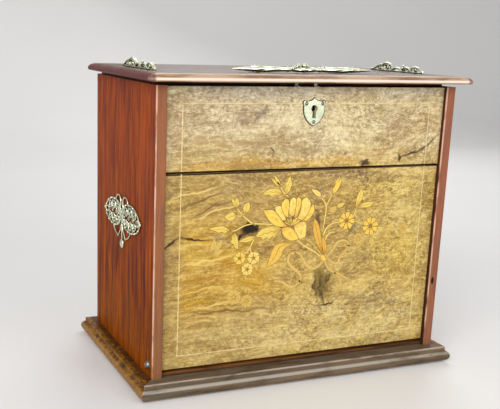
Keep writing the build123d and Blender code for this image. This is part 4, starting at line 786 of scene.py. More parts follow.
def inlay_tile(edge_a, edge_b, tone, veined=0.0, layer=1, outline=0.28, sharp=False,
               rows=24, cols=4, first=0.0):
    """One leaf or petal between two edges, each drawn from root to tip, with its dark outline."""
    side_a = [drawn_at(p) for p in smooth(edge_a, rows, sharp)]
    side_b = [drawn_at(p) for p in smooth(edge_b, rows, sharp)]
    grid = [[a.lerp(b, j / cols) for j in range(cols + 1)] for a, b in zip(side_a, side_b)]
    lay_grid(tiles, grid, sheet_face - TILE_RISE * (layer + 0.5), TILE_THICK, (*tone, veined), first)
    if outline:
        spine = [row[cols // 2] for row in grid]
        middle = sum(spine, Vector((0, 0))) / len(spine)
        lean = (spine[-1] - spine[0]).normalized()
        end_reach = max(lean.length * 1e-9 + abs((spine[-1] - middle).dot(lean)), 1e-6)
        wide = []
        for row, mark in zip(grid, spine):
            spread_out = row[0] - row[-1]
            spread_out = spread_out.normalized() if spread_out.length > 1e-7 else Vector((-lean.y, lean.x))
            ends = [row[0] + spread_out * outline * MM, row[-1] - spread_out * outline * MM]
            push = lean * outline * MM * (1 if (row[0] - middle).dot(lean) > 0 else -1)
            share = abs((mark - middle).dot(lean)) / end_reach
            wide.append([end + push * min(share, 1.0) for end in ends])
        lay_grid(outlines, wide, sheet_face - TILE_RISE * layer, OUTLINE_THICK)


def inlay_band(line, width, tone, layer=1, taper=0.35, rows=32, outline=0.12):
    """Stem or ribbon along a curve; width in the drawing's squares."""
    path = smooth(line, rows)
    sides = ([], [])
    for i, point in enumerate(path):
        ahead = path[min(i + 1, rows)] - path[max(i - 1, 0)]
        normal = Vector((-ahead.y, ahead.x)).normalized()
        t = i / rows
        half = width / 2 * (1 - taper * abs(2 * t - 1) ** 3)
        sides[0].append(point + normal * half)
        sides[1].append(point - normal * half)
    inlay_tile(sides[0], sides[1], tone, 0.0, layer, outline, True, rows, 2, 0.45)

# %% [markdown]
# The drawing lies in squares, eight to the millimetre, from the fall's upper left corner of
# the pattern. A large open bloom stands left of the middle on a long stalk, with a ribbon
# tied round the stalks below it, small flowers, buds and sprays of leaves. It is a common
# pattern of its time. Tones run from holly through satinwood to burnt orange.

# %% Tones of the inlay
HOLLY = (0.90, 0.68, 0.16)
SATINWOOD = (0.88, 0.62, 0.095)
GOLD_LEAF = (0.76, 0.57, 0.11)
ORANGE = (0.72, 0.42, 0.055)
AMBER = (0.76, 0.49, 0.075)
RIBBON = (0.70, 0.49, 0.13)
FADED = (0.66, 0.47, 0.11)
EYE = (0.36, 0.19, 0.035)
HEART = (0.20, 0.11, 0.03)
HEART_LINE = (0.30, 0.16, 0.04)

# %% The bloom and its leaves
for edge_a, edge_b, tone, layer in [
    ([(740, 440), (690, 390), (640, 335), (585, 300), (505, 303)],
     [(745, 452), (690, 450), (625, 436), (565, 390), (505, 303)], SATINWOOD, 1),
    ([(750, 430), (735, 360), (700, 305), (662, 272), (614, 278)],
     [(742, 442), (695, 402), (652, 352), (622, 315), (614, 278)], HOLLY, 2),
    ([(832, 428), (905, 418), (958, 375), (985, 325), (972, 266)],
     [(815, 418), (880, 390), (925, 340), (945, 300), (972, 266)], SATINWOOD, 1),
    ([(758, 424), (760, 340), (750, 270), (735, 226), (704, 213)],
     [(745, 432), (715, 370), (685, 312), (672, 255), (704, 213)], SATINWOOD, 3),
    ([(820, 420), (885, 395), (932, 335), (946, 262), (905, 206)],
     [(798, 420), (842, 350), (858, 290), (862, 232), (905, 206)], HOLLY, 3),
    ([(806, 422), (838, 330), (855, 265), (850, 222), (824, 204)],
     [(780, 422), (792, 330), (803, 265), (806, 224), (824, 204)], SATINWOOD, 4),
    ([(778, 424), (800, 330), (808, 262), (806, 222), (780, 202)],
     [(750, 424), (744, 330), (748, 265), (755, 224), (780, 202)], HOLLY, 5),
    ([(800, 425), (905, 415), (918, 490), (912, 545), (868, 562)],
     [(800, 432), (800, 475), (818, 520), (836, 552), (868, 562)], HOLLY, 5),
    ([(680, 458), (745, 452), (790, 472), (828, 520), (850, 562)],
     [(682, 464), (694, 512), (736, 552), (790, 574), (850, 562)], SATINWOOD, 6),
]:
    inlay_tile(edge_a, edge_b, tone, 0.0, layer, 0.42)

for edge_a, edge_b, tone, layer in [
    ([(680, 456), (640, 440), (590, 436), (540, 444), (500, 458), (470, 482), (452, 516)],
     [(682, 464), (650, 505), (622, 542), (604, 522), (575, 552), (552, 528), (520, 552), (500, 526),
      (452, 516)], GOLD_LEAF, 1),
    ([(712, 186), (742, 150), (760, 98), (742, 28)],
     [(710, 186), (688, 140), (706, 112), (694, 84), (720, 68), (722, 44), (742, 28)], GOLD_LEAF, 1),
    ([(676, 162), (652, 134), (600, 122), (545, 130), (492, 165)],
     [(676, 170), (640, 186), (604, 176), (578, 192), (552, 172), (524, 178), (492, 165)], GOLD_LEAF, 1),
    ([(232, 455), (196, 432), (150, 408), (95, 414), (25, 426)],
     [(232, 462), (198, 458), (172, 478), (150, 458), (120, 468), (90, 450), (25, 426)], GOLD_LEAF, 1),
    ([(262, 470), (288, 508), (296, 560), (300, 616)],
     [(262, 470), (230, 505), (240, 530), (222, 548), (258, 572), (268, 600), (300, 616)], GOLD_LEAF, 1),
]:
    inlay_tile(edge_a, edge_b, tone, 1.0, layer, 0.36, sharp=True)

for edge_a, edge_b, tone in [
    ([(830, 600), (760, 587), (690, 586), (640, 598), (603, 648), (585, 712), (560, 788)],
     [(830, 606), (790, 606), (745, 620), (710, 650), (694, 700), (644, 750), (560, 788)], AMBER),
    ([(1100, 712), (1076, 610), (1058, 520), (1030, 440), (990, 388)],
     [(1094, 712), (1040, 640), (1004, 570), (980, 470), (990, 388)], ORANGE),
    ([(1108, 714), (1124, 660), (1112, 600), (1078, 536)],
     [(1100, 712), (1082, 660), (1080, 600), (1078, 536)], ORANGE),
    ([(450, 514), (400, 510), (350, 524), (298, 550)],
     [(452, 522), (416, 548), (360, 560), (298, 550)], GOLD_LEAF),
    ([(346, 320), (380, 298), (388, 258), (376, 224)],
     [(346, 320), (326, 285), (334, 250), (376, 224)], GOLD_LEAF),
    ([(276, 270), (264, 235), (246, 205), (218, 184)],
     [(276, 270), (248, 252), (230, 222), (218, 184)], GOLD_LEAF),
    ([(280, 268), (292, 235), (282, 205), (262, 180)],
     [(280, 268), (262, 242), (254, 210), (262, 180)], GOLD_LEAF),
    ([(270, 330), (240, 303), (206, 308), (170, 332)],
     [(270, 338), (250, 364), (212, 374), (170, 346)], GOLD_LEAF),
    ([(650, 116), (614, 98), (584, 66), (560, 30)], [(650, 116), (642, 84), (600, 58), (560, 30)], GOLD_LEAF),
    ([(656, 112), (646, 70), (616, 34), (592, 10)], [(656, 112), (624, 82), (602, 46), (592, 10)], GOLD_LEAF),
    ([(1042, 216), (1010, 208), (974, 182), (943, 143)],
     [(1042, 216), (1032, 180), (996, 156), (943, 143)], HOLLY),
    ([(1146, 196), (1148, 150), (1185, 102), (1230, 58)],
     [(1146, 196), (1182, 176), (1216, 120), (1230, 58)], SATINWOOD),
    ([(1160, 130), (1172, 90), (1196, 60), (1216, 34)],
     [(1160, 130), (1186, 100), (1202, 70), (1216, 34)], SATINWOOD),
    ([(1190, 306), (1212, 282), (1245, 272), (1280, 274)],
     [(1190, 308), (1220, 314), (1254, 302), (1280, 274)], GOLD_LEAF),
    ([(1398, 322), (1436, 260), (1452, 204), (1430, 154)],
     [(1386, 334), (1384, 262), (1398, 202), (1430, 154)], GOLD_LEAF),
    ([(1402, 322), (1450, 286), (1510, 274), (1568, 282)],
     [(1402, 328), (1456, 324), (1520, 322), (1568, 282)], GOLD_LEAF),
    ([(1560, 568), (1548, 610), (1560, 650), (1582, 682)],
     [(1560, 568), (1588, 610), (1596, 650), (1582, 682)], FADED),
    ([(1690, 512), (1730, 486), (1764, 494), (1786, 514)],
     [(1690, 514), (1726, 540), (1762, 534), (1786, 514)], FADED),
    ([(36, 648), (50, 600), (62, 550), (84, 514)], [(36, 648), (84, 610), (104, 556), (84, 514)], FADED),
    ([(44, 648), (86, 600), (112, 556), (152, 522)], [(44, 648), (112, 612), (148, 572), (152, 522)], FADED),
    ([(50, 650), (96, 622), (136, 608), (170, 612)], [(50, 650), (106, 650), (146, 636), (170, 612)], FADED),
    ([(1110, 336), (1140, 310), (1175, 300), (1205, 304)],
     [(1110, 338), (1150, 348), (1184, 334), (1205, 304)], FADED),
]:
    inlay_tile(edge_a, edge_b, tone, 1.0, 2, outline=0.0 if tone is FADED else 0.26)

# %% [markdown]
# Stems and ribbons are bands along a curve that narrow a little at their ends. The ribbon's
# two loops and its tails cross the stalks at a knot, where the layers decide which lies on top.

# %% Stems and ribbon
for line, width in [
    ([(600, 426), (520, 415), (425, 405), (368, 370), (310, 318), (272, 268)], 8),
    ([(430, 405), (340, 422), (266, 456), (214, 452)], 7),
    ([(452, 516), (430, 548), (406, 602), (376, 642), (338, 668)], 7),
    ([(408, 600), (412, 640), (432, 668)], 6),
    ([(346, 318), (326, 330), (300, 338), (268, 334)], 6),
    ([(734, 200), (692, 166), (650, 114)], 7),
    ([(1076, 506), (1088, 420), (1096, 300), (1068, 248), (1036, 208)], 8),
    ([(1100, 286), (1124, 236), (1150, 192)], 7),
    ([(1082, 664), (1080, 572), (1110, 486), (1166, 446), (1242, 440)], 9),
    ([(1092, 654), (1106, 590), (1142, 528), (1198, 522)], 8),
    ([(1345, 424), (1372, 380), (1392, 326)], 6),
    ([(1372, 436), (1430, 452), (1478, 474)], 5),
    ([(1612, 500), (1650, 510), (1692, 512)], 5),
]:
    inlay_band(line, width + 3, HOLLY, 1, outline=0.16)

inlay_band([(905, 556), (960, 590), (1012, 636), (1102, 736)], 8, GOLD_LEAF, 3)
inlay_band([(838, 572), (900, 620), (992, 672), (1098, 746)], 12, HOLLY, 4)
for line, width in [
    ([(1098, 762), (1066, 802), (1005, 828), (945, 800), (905, 745), (868, 690), (822, 672)], 27),
    ([(828, 672), (775, 690), (760, 745), (795, 795), (845, 835), (890, 885), (884, 938)], 27),
    ([(888, 926), (832, 972), (770, 962), (715, 925), (640, 908)], 24),
    ([(1122, 748), (1165, 700), (1195, 665), (1218, 622), (1272, 600), (1330, 616), (1346, 655)], 23),
    ([(1346, 645), (1302, 706), (1264, 738), (1250, 785), (1215, 800), (1174, 776), (1136, 752)], 23),
    ([(1108, 762), (1150, 835), (1200, 870), (1270, 900), (1340, 940), (1374, 972)], 19),
    ([(1214, 880), (1256, 920), (1286, 970), (1290, 1016), (1260, 1068)], 18),
]:
    inlay_band(line, width, RIBBON, 5, taper=0.2)
inlay_band([(1076, 722), (1098, 742), (1122, 768)], 34, SATINWOOD, 6, taper=0.5, rows=12)
inlay_band([(120, 1040), (190, 1068), (262, 1118)], 6, FADED, 1, outline=0.0)

# %% [markdown]
# A small flower has five round petals or eight narrow ones round an eye, and each petal lies a
# layer above or below its neighbours. Faded flowers have lost their dark outline.

# %% Small flowers
FLOWER_LAYER = 3


def small_flower(u, v, reach, tone, petals, turn, fullness=0.84):
    """Ring of round petals round an eye; sizes in the drawing's squares."""
    middle = Vector((u, v))
    faded = tone is FADED
    half = reach * math.sin(math.pi / petals) * fullness
    for petal in range(petals):
        angle = turn + petal * math.tau / petals
        out, side = Vector((math.cos(angle), math.sin(angle))), Vector((-math.sin(angle), math.cos(angle)))
        edges = [[middle + out * reach * 0.12,
                  middle + out * reach * 0.5 + side * half * 0.75 * way,
                  middle + out * reach * (0.92 + 0.06 * way) + side * half * way,
                  middle + out * reach * 0.94] for way in (1, -1)]
        inlay_tile(*edges, tone, 0.0, FLOWER_LAYER + petal % 2, 0.0 if faded else 0.28, rows=12)
    arcs = [[middle + Vector((math.cos(a), way * math.sin(a))) * reach * 0.14 for a in circle(12)[:7]]
            for way in (1, -1)]
    inlay_tile(*arcs, GOLD_LEAF if faded else EYE, 0.0, FLOWER_LAYER + 2, 0.0 if faded else 0.3, rows=8)


for u, v, reach, tone, turn in [
    (440, 696, 54, HOLLY, 0.2), (386, 788, 52, HOLLY, 0.7), (314, 690, 52, SATINWOOD, 0.5),
    (275, 1018, 62, FADED, 0.3), (392, 1060, 54, FADED, 0.8), (1432, 594, 52, FADED, 0.2),
    (1888, 530, 40, FADED, 0.4),
]:
    small_flower(u, v, reach, tone, 5, turn)
small_flower(1304, 430, 78, SATINWOOD, 8, 0.1, fullness=0.66)
small_flower(1546, 490, 80, SATINWOOD, 8, 0.5, fullness=0.66)

# %% [markdown]
# The large bloom has a fan of narrow petals round its heart, and a few dark lines cut into it.

# %% Heart of the bloom
root = Vector((778, 446))
for lean in (-58, -34, -12, 12, 34, 58):
    out = Vector((math.sin(math.radians(lean)), -math.cos(math.radians(lean))))
    aside = Vector((-out.y, out.x))
    edges = [[root, root + out * 46 + aside * 9 * way, root + out * 74 + aside * 7 * way, root + out * 90]
             for way in (1, -1)]
    inlay_tile(*edges, HOLLY if abs(lean) < 30 else SATINWOOD, 0.0, 7, 0.5, rows=10)
inlay_tile([(770, 378), (776, 366), (792, 366), (798, 378)], [(770, 378), (778, 392), (790, 392), (798, 378)],
           HEART, 0.0, 8, 0.2, rows=8)
for line in ([(772, 428), (762, 380), (742, 332)], [(766, 430), (744, 392), (716, 356)],
             [(784, 420), (782, 402), (784, 388)], [(762, 432), (728, 412), (700, 398)]):
    inlay_band(line, 5, HEART_LINE, 7, outline=0.0, rows=8)

# %% [markdown]
# Each piece of the cabinet made in code ends with adopt, which makes it an object, gives it its
# finish, hangs it on the body that carries it and hides the plain solids that it stands for.
# Meshes built in bmesh go through settle first, where doubles are merged so that each tip and
# seam closes. The inlay goes through it first, with its outlines and the new sheet of veneer that they lie
# in.

# %% Finish a mesh
MERGE = 1e-7  # metres within which two points are one


def settle(mesh, name, body, finish, stands_for=(), smooth_shading=False):
    """Turn a bmesh into a finished piece that rides on a body."""
    bmesh.ops.remove_doubles(mesh, verts=mesh.verts, dist=MERGE)
    bmesh.ops.dissolve_degenerate(mesh, edges=mesh.edges, dist=MERGE)
    bmesh.ops.recalc_face_normals(mesh, faces=mesh.faces)
    data = bpy.data.meshes.new(name)
    mesh.to_mesh(data)
    mesh.free()
    if smooth_shading:
        data.shade_smooth()
    else:
        data.shade_flat()
    return adopt(data, name, body, finish, stands_for)


def adopt(data, name, body, finish, stands_for=()):
    """Make a mesh into a piece of the cabinet."""
    data.materials.clear()
    data.materials.append(finish)
    piece = bpy.data.objects.new(name, data)
    bpy.context.scene.collection.objects.link(piece)
    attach(piece, body)
    if stands_for:
        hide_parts(*stands_for)
    print(name, len(data.polygons), "faces")
    return piece


def flat_sheet(low, high):
    """Thin closed block between two corners, as a bmesh."""
    mesh = bmesh.new()
    bmesh.ops.create_cube(mesh, size=1.0)
    centre, size = (Vector(low) + Vector(high)) / 2, Vector(high) - Vector(low)
    bmesh.ops.scale(mesh, vec=size, verts=mesh.verts)
    bmesh.ops.translate(mesh, vec=centre, verts=mesh.verts)
    return mesh


line_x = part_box("stringing_fall")[1].x - 1.1 * MM
line_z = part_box("stringing_fall")[0].z + 1.1 * MM
veneer_sheet = flat_sheet((-line_x, sheet_face, line_z), (line_x, panel_face + 0.2 * MM, fall_top))
settle(veneer_sheet, "fall_veneer", "fall", veneer)
settle(tiles, "fall_marquetry", "fall", inlay, ["marquetry_spray"])
settle(outlines, "fall_marquetry_outline", "fall", glue_and_shade_finish)

# %% [markdown]
# ## Cast brass
# The mounts, crests and handle were cast from carved patterns, so they are made of round
# scrolls that swell and taper. One helper sweeps a ring of points along a smooth path, with a
# radius at each given point, and closes both ends. Others make a ball and a flat spiral.

# %% Helpers for castings
def cast_rod(mesh, points, radii, sides=8, steps=5):
    """Round bar along a smooth path, with a radius at each given point."""
    count = steps * (len(points) - 1)
    path = smooth(points, count)
    sizes = [v.x for v in smooth([Vector((r, 0.0)) for r in radii], count)]
    rings = []
    across = None
    for i, centre in enumerate(path):
        ahead = (path[min(i + 1, count)] - path[max(i - 1, 0)]).normalized()
        if across is None:
            across = ahead.orthogonal().normalized()
        across = (across - ahead * across.dot(ahead)).normalized()
        over = ahead.cross(across)
        size = max(sizes[i], 0.05 * MM)
        rings.append([mesh.verts.new(centre + size * (across * math.cos(a) + over * math.sin(a)))
                      for a in circle(sides)])
    for ring, following in zip(rings, rings[1:]):
        for k in range(sides):
            m = (k + 1) % sides
            mesh.faces.new((ring[k], ring[m], following[m], following[k]))
    mesh.faces.new(list(reversed(rings[0])))
    mesh.faces.new(rings[-1])


def cast_ball(mesh, centre, radius, squash=(1.0, 1.0, 1.0), segments=10):
    """Ball, or an egg if squashed."""
    made = bmesh.ops.create_uvsphere(
        mesh, u_segments=segments, v_segments=max(segments // 2, 5), radius=radius)
    bmesh.ops.scale(mesh, vec=squash, verts=made["verts"])
    bmesh.ops.translate(mesh, vec=centre, verts=made["verts"])


def spiral(u, v, start, turns, outer, inner, count=9):
    """Points of a flat scroll that winds in from outer to inner radius; start in degrees."""
    made = []
    for i in range(count):
        t = i / (count - 1)
        angle = math.radians(start) + turns * math.tau * t
        radius = outer + (inner - outer) * t
        made.append((u + radius * math.cos(angle), v + radius * math.sin(angle)))
    return made


# %% [markdown]
# ## Repeating pieces with Geometry Nodes
# Pearls along a scroll, rings that pierce a plate and slotted screws all repeat one small
# shape. A geometry tree holds the rule: it takes points with a direction and a size, puts the
# small shape on each, makes the copies real and gives them their finish. The tree is run once
# on a mesh of bare points, and its result is kept as a plain mesh.

# %% Run a geometry tree
def geometry_tree(name, inputs):
    """Empty geometry tree with named inputs after its points; returns tree and input sockets."""
    tree = bpy.data.node_groups.new(name, "GeometryNodeTree")
    tree.interface.new_socket("Points", in_out="INPUT", socket_type="NodeSocketGeometry")
    for socket, value in inputs.items():
        tree.interface.new_socket(socket, in_out="INPUT", socket_type="NodeSocketFloat").default_value = value
    tree.interface.new_socket("Finish", in_out="INPUT", socket_type="NodeSocketMaterial")
    tree.interface.new_socket("Pieces", in_out="OUTPUT", socket_type="NodeSocketGeometry")
    return tree, tree.nodes.new("NodeGroupInput").outputs


def carried(tree, name, data_type="FLOAT"):
    """What each point carries under a name."""
    return put(tree, "GeometryNodeInputNamedAttribute", {"Name": name}, data_type=data_type).outputs[0]


def aimed(tree):
    """Rotation that turns Z to where each point faces."""
    facing = carried(tree, "facing", "FLOAT_VECTOR")
    return put(tree, "FunctionNodeAlignRotationToVector", {"Vector": facing}, axis="Z").outputs[0]


def smoothed(tree, shape):
    """The shape, shaded smooth."""
    return put(tree, "GeometryNodeSetShadeSmooth", {0: shape}).outputs[0]


def close_tree(tree, given, shape, **turn):
    """Put the shape on every point, make the copies real, give them the finish, put them out."""
    places = {"Points": given["Points"], "Instance": shape, "Scale": carried(tree, "size"), **turn}
    copies = put(tree, "GeometryNodeInstanceOnPoints", places).outputs[0]
    real = put(tree, "GeometryNodeRealizeInstances", {0: copies}).outputs[0]
    done = put(tree, "GeometryNodeSetMaterial", {"Geometry": real, "Material": given["Finish"]})
    put(tree, "NodeGroupOutput", {0: done.outputs[0]})


def placed_points(places):
    """Mesh of bare points, each with the direction that it faces and a size."""
    data = bpy.data.meshes.new("points")
    data.from_pydata([p[0] for p in places], [], [])
    data.attributes.new("facing", "FLOAT_VECTOR", "POINT")
    data.attributes.new("size", "FLOAT", "POINT")
    for i, (_, direction, amount) in enumerate(places):
        data.attributes["facing"].data[i].vector = direction
        data.attributes["size"].data[i].value = amount
    return data


def grow(tree, places, **values):
    """Run a tree on points and return its result as a plain mesh."""
    maker = bpy.data.objects.new("maker", placed_points(places))
    bpy.context.scene.collection.objects.link(maker)
    modifier = maker.modifiers.new("rule", "NODES")
    modifier.node_group = tree
    for item in tree.interface.items_tree:
        if item.in_out == "INPUT" and item.name in values:
            modifier[item.identifier] = values[item.name]
    evaluated = maker.evaluated_get(bpy.context.evaluated_depsgraph_get())
    data = bpy.data.meshes.new_from_object(evaluated)
    maker.modifiers.remove(modifier)
    bpy.data.objects.remove(maker)
    return data


# %% [markdown]
# A pearl is a fine ball. A ring is a circle of wire, turned to face the way its point does.

# %% Trees for pearls and rings
pearls, given = geometry_tree("pearls", {"Radius": 0.7 * MM})
bead = put(pearls, "GeometryNodeMeshIcoSphere", {"Radius": given["Radius"], "Subdivisions": 2}).outputs[0]
close_tree(pearls, given, smoothed(pearls, bead))

rings, given = geometry_tree("rings", {"Radius": 1.4 * MM, "Wire": 0.4 * MM})
hoop, wire = [
    put(rings, "GeometryNodeCurvePrimitiveCircle", {"Resolution": count, "Radius": given[radius]}).outputs[0]
    for count, radius in ((12, "Radius"), (6, "Wire"))]
hoop = put(rings, "GeometryNodeCurveToMesh", {0: hoop, 1: wire}).outputs[0]
close_tree(rings, given, smoothed(rings, hoop), Rotation=aimed(rings))

# %% [markdown]
# The head of a screw is a ball pressed flat to a dome, and a bar cut out of it makes the slot.
# A random turn about the screw's own axis keeps the slots from standing all the same way.

# %% Tree for slotted screws
screws, given = geometry_tree("slotted_screws", {"Head": 1.9 * MM, "Dome": 0.6 * MM, "Slot": 0.5 * MM})
ball = put(screws, "GeometryNodeMeshUVSphere",
           {"Segments": 20, "Rings": 12, "Radius": given["Head"]}).outputs[0]
pressed = joined(screws, 1.0, 1.0, calc(screws, "DIVIDE", given["Dome"], given["Head"]))
dome = put(screws, "GeometryNodeTransform", {"Geometry": ball, "Scale": pressed}).outputs[0]
bar_size = joined(screws, product(screws, given["Head"], 3.0), given["Slot"], given["Dome"])
bar = put(screws, "GeometryNodeMeshCube", {"Size": bar_size}).outputs[0]
lifted = joined(screws, z=given["Dome"])
bar = put(screws, "GeometryNodeTransform", {"Geometry": bar, "Translation": lifted}).outputs[0]
head = put(screws, "GeometryNodeMeshBoolean", {0: dome, 1: bar}, operation="DIFFERENCE").outputs[0]
chance = put(screws, "FunctionNodeRandomValue", {"Max": 3.1, "Seed": 4}, data_type="FLOAT")
own_turn = joined(screws, z=[s for s in chance.outputs if s.enabled][0])
turned = put(screws, "FunctionNodeRotateRotation", {0: aimed(screws), 1: own_turn}, rotation_space="LOCAL")
close_tree(screws, given, head, Rotation=turned.outputs[0])

# %% [markdown]
# ## Pierced mounts on the sides
# Each side carries a flat pierced mount: two round-ended lobes, each an outline set with
# pearls and filled with curls and a few rings; a scroll over the inner end of each; curved
# bars below that run together in pairs; and a ball drop. The mount is drawn once, in
# millimetres from its middle, with u along the case and v up, and is put on either side. Wood
# shows through between the curls, as in the real piece.

# %% Side mounts
MOUNT_MIDDLE = plinth_top + 150 * MM
DROOP = 0.03  # the mount's fall towards the back
LOBE = [(3, -1), (6, 7), (14, 11.8), (25, 13.4), (38, 12.4), (49, 8.4), (56.5, 2.8), (59, -2),
        (55.5, -8.2), (46, -12.6), (35, -14.8), (23, -15), (12, -12.4), (5, -7.2), (3, -1)]
SCROLLS = [
    (spiral(14.5, 4.0, 210, -1.3, 6.8, 1.4), 1.15, 0.55),
    (spiral(14.5, -6.6, 150, 1.3, 6.4, 1.4), 1.15, 0.55),
    (spiral(29, 5.4, 200, -1.3, 6.8, 1.4), 1.15, 0.55),
    (spiral(29, -7.0, 160, 1.3, 6.8, 1.4), 1.15, 0.55),
    (spiral(42.5, 4.0, 200, -1.2, 6.2, 1.3), 1.05, 0.5),
    (spiral(42.5, -6.0, 160, 1.2, 6.0, 1.3), 1.05, 0.5),
    ([(48, 0), (52, 1.4), (56, 0), (61, -1)], 0.9, 0.8),
    ([(48, -3), (52, -4.6), (56, -3.6), (61, -1)], 0.9, 0.8),
    ([(6, 6), (3.4, 11), (4.6, 16.4), (10, 19.6), (16.4, 18.6), (20.6, 15)], 1.15, 0.8),
    ([(1.2, 0.6), (4.4, 4.6), (7.4, 2.2), (6.2, -2.2), (2.6, -2.8)], 1.0, 0.7),
    ([(29.6, -15), (26, -19.6), (20, -23.0), (13.4, -25)], 1.05, 0.6),
    ([(0.6, -10), (3, -16.6), (7.6, -20.4), (12.6, -25.4)], 1.05, 0.6),
]
RING_PLACES = [(8.2, -1.2), (21.8, -0.8), (35.8, -0.8), (48.6, -1.4), (21.6, 9.8), (35.6, 9.6), (21.6, -12),
               (36, -12)]
DROP_V = -32
DROP_RIM = 4.4
MIDDLE_BALLS = [(DROP_V, 4.6), (-25.5, 1.6), (-2, 2.2), (5.6, 1.4), (-10, 1.6)]


def on_mount(side, u, v, out):
    """Place of a point of the mount on the left or right board, out millimetres off it."""
    return Vector((side * (side_out + out * MM), u * MM, MOUNT_MIDDLE + (v - DROOP * u) * MM))


for side, name in ((-1, "left"), (1, "right")):
    casting = bmesh.new()
    piercing, pearl_row = [], []
    for end in (-1, 1):
        outline = [on_mount(side, end * u, v, 1.0) for u, v in LOBE]
        cast_rod(casting, outline, [0.95 * MM] * len(LOBE), steps=4)
        for path, start_r, end_r in SCROLLS:
            sizes = [(start_r + (end_r - start_r) * i / (len(path) - 1)) * MM for i in range(len(path))]
            cast_rod(casting, [on_mount(side, end * u, v, 1.1) for u, v in path], sizes, steps=3)
            tip = path[-1]
            cast_ball(casting, on_mount(side, end * tip[0], tip[1], 1.1), (end_r + 0.5) * MM, segments=8)
        cast_ball(casting, on_mount(side, end * 61, -1, 1.0), 1.9 * MM)
        piercing += [(on_mount(side, end * u, v, 0.55), (side, 0, 0), 1.0) for u, v in RING_PLACES]
        pearl_row += [(on_mount(side, end * u, v, 1.5), (side, 0, 0), 1.0) for u, v in LOBE[:-1]]
    for v, radius in MIDDLE_BALLS:
        cast_ball(casting, on_mount(side, 0, v, 0.9), radius * MM, (0.45, 1, 1), 14)
    cast_rod(casting, [on_mount(side, 0, v, 0.9) for v in (-30, -22, -12, -2, 6)], [0.9 * MM] * 5)
    rim = [on_mount(side, DROP_RIM * math.cos(a), DROP_V + DROP_RIM * math.sin(a), 1.0)
           for a in circle(10, closed=True)]
    cast_rod(casting, rim, [0.7 * MM] * len(rim), steps=3)
    settle(casting, "filigree_mount_" + name, "case", brass, ["side_mount_" + name], True)
    adopt(grow(rings, piercing, Radius=1.9 * MM, Wire=0.5 * MM, Finish=brass),
          "filigree_rings_" + name, "case", brass)
    adopt(grow(pearls, pearl_row, Radius=1.25 * MM, Finish=brass),
          "filigree_pearls_" + name, "case", brass)

# %% [markdown]
# ## Crests at the ends of the lid
# A low openwork crest stands along each end of the lid. It rises from a small ball at the
# front through a pierced lobe and a bud to a double scroll, and falls away behind. It is drawn
# from the front edge of the case, in millimetres, with the height above the lid.

# %% Lid crests
CREST_PATHS = [
    ([(42, 0.9), (60, 0.9), (80, 0.9), (100, 0.9), (120, 0.9), (146, 0.9)], [0.9] * 6),
    ([(45.5, 1.6), (48, 4.4), (52.5, 7.2), (58, 8.2), (63.4, 6.8), (65.6, 3.6), (63.4, 1.6)],
     [0.8, 1.1, 1.3, 1.4, 1.3, 1.1, 0.8]),
    (spiral(57.6, 4.2, 60, 1.3, 3.0, 0.8), [0.9, 0.9, 0.9, 0.8, 0.8, 0.7, 0.7, 0.6, 0.6]),
    ([(66, 1.6), (69.6, 5.4), (74.4, 6.8), (79, 6.2), (82.8, 3.4), (82, 1.4)],
     [0.8, 1.2, 1.4, 1.3, 1.1, 0.8]),
    ([(70, 2.2), (74, 4.4), (78, 3.6), (78.4, 1.8)], [0.7, 0.9, 0.9, 0.7]),
    ([(81, 5), (81.6, 7.4), (80.6, 9)], [1.1, 1.3, 1.0]),
    ([(84, 1.6), (88, 4.6), (93, 5.8), (98, 4.8), (101, 2)], [0.8, 1.1, 1.2, 1.1, 0.8]),
    ([(98, 3.2), (102, 7.2), (108, 10.6), (114.6, 11.6), (120.4, 9.6), (122.4, 5.6), (120, 2)],
     [0.8, 1.2, 1.5, 1.6, 1.5, 1.3, 0.9]),
    (spiral(112.6, 5.8, 150, -1.4, 4.6, 1.0), [1.0, 1.1, 1.1, 1.0, 1.0, 0.9, 0.8, 0.7, 0.6]),
    ([(104, 1.4), (106.4, 4.4), (107.6, 7.6)], [0.8, 0.9, 0.7]),
    ([(120, 8.6), (125, 8.8), (130, 7.6), (134.4, 5.2), (138.6, 3.2), (144.6, 1.6)],
     [1.0, 1.3, 1.3, 1.2, 1.0, 0.7]),
    (spiral(128.6, 4.0, 100, -1.2, 2.8, 0.8), [0.8, 0.9, 0.9, 0.8, 0.8, 0.7, 0.7, 0.6, 0.6]),
]
CREST_BALLS = [(44, 2.2, 1.9), (81, 9.2, 1.5), (58.2, 9.0, 1.2), (114, 6, 1.4), (145, 1.6, 1.5),
               (67, 2.0, 1.3), (101.6, 2.2, 1.3), (123.6, 2.2, 1.3)]
CREST_RISE = 0.78  # the drawing above is a little taller than the casting
CREST_LEAN = 0.7  # millimetres from the middle of the casting to each of its two faces
crest_x = (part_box("lid_end_mount_right")[0].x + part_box("lid_end_mount_right")[1].x) / 2


def on_lid(side, y, height, lean=0.0):
    """Place of a point of the crest on the left or right end of the lid."""
    return Vector((side * crest_x + lean * MM, case_front + y * MM, lid_top + height * CREST_RISE * MM))


for side, name in ((-1, "left"), (1, "right")):
    casting = bmesh.new()
    for path, sizes in CREST_PATHS:
        for lean in (-CREST_LEAN, CREST_LEAN):
            line = [on_lid(side, y, z, lean) for y, z in path]
            cast_rod(casting, line, [r * 0.74 * MM for r in sizes], steps=4)
    for y, z, radius in CREST_BALLS:
        cast_ball(casting, on_lid(side, y, z), radius * 0.9 * MM, segments=12)
    settle(casting, "lid_crest_" + name, "lid", brass, ["lid_end_mount_" + name], True)

# %% [markdown]
# ## The carrying handle
# The handle is a long cast bar that lies on the lid before two arms: a leafy boss in the
# middle, a pair of long swellings, and thin tips. A bar whose section changes along its length
# follows a rule, so it is made of rings: the radius comes from a smooth profile, and leaves
# are pressed into the boss and flutes twisted round the swellings.

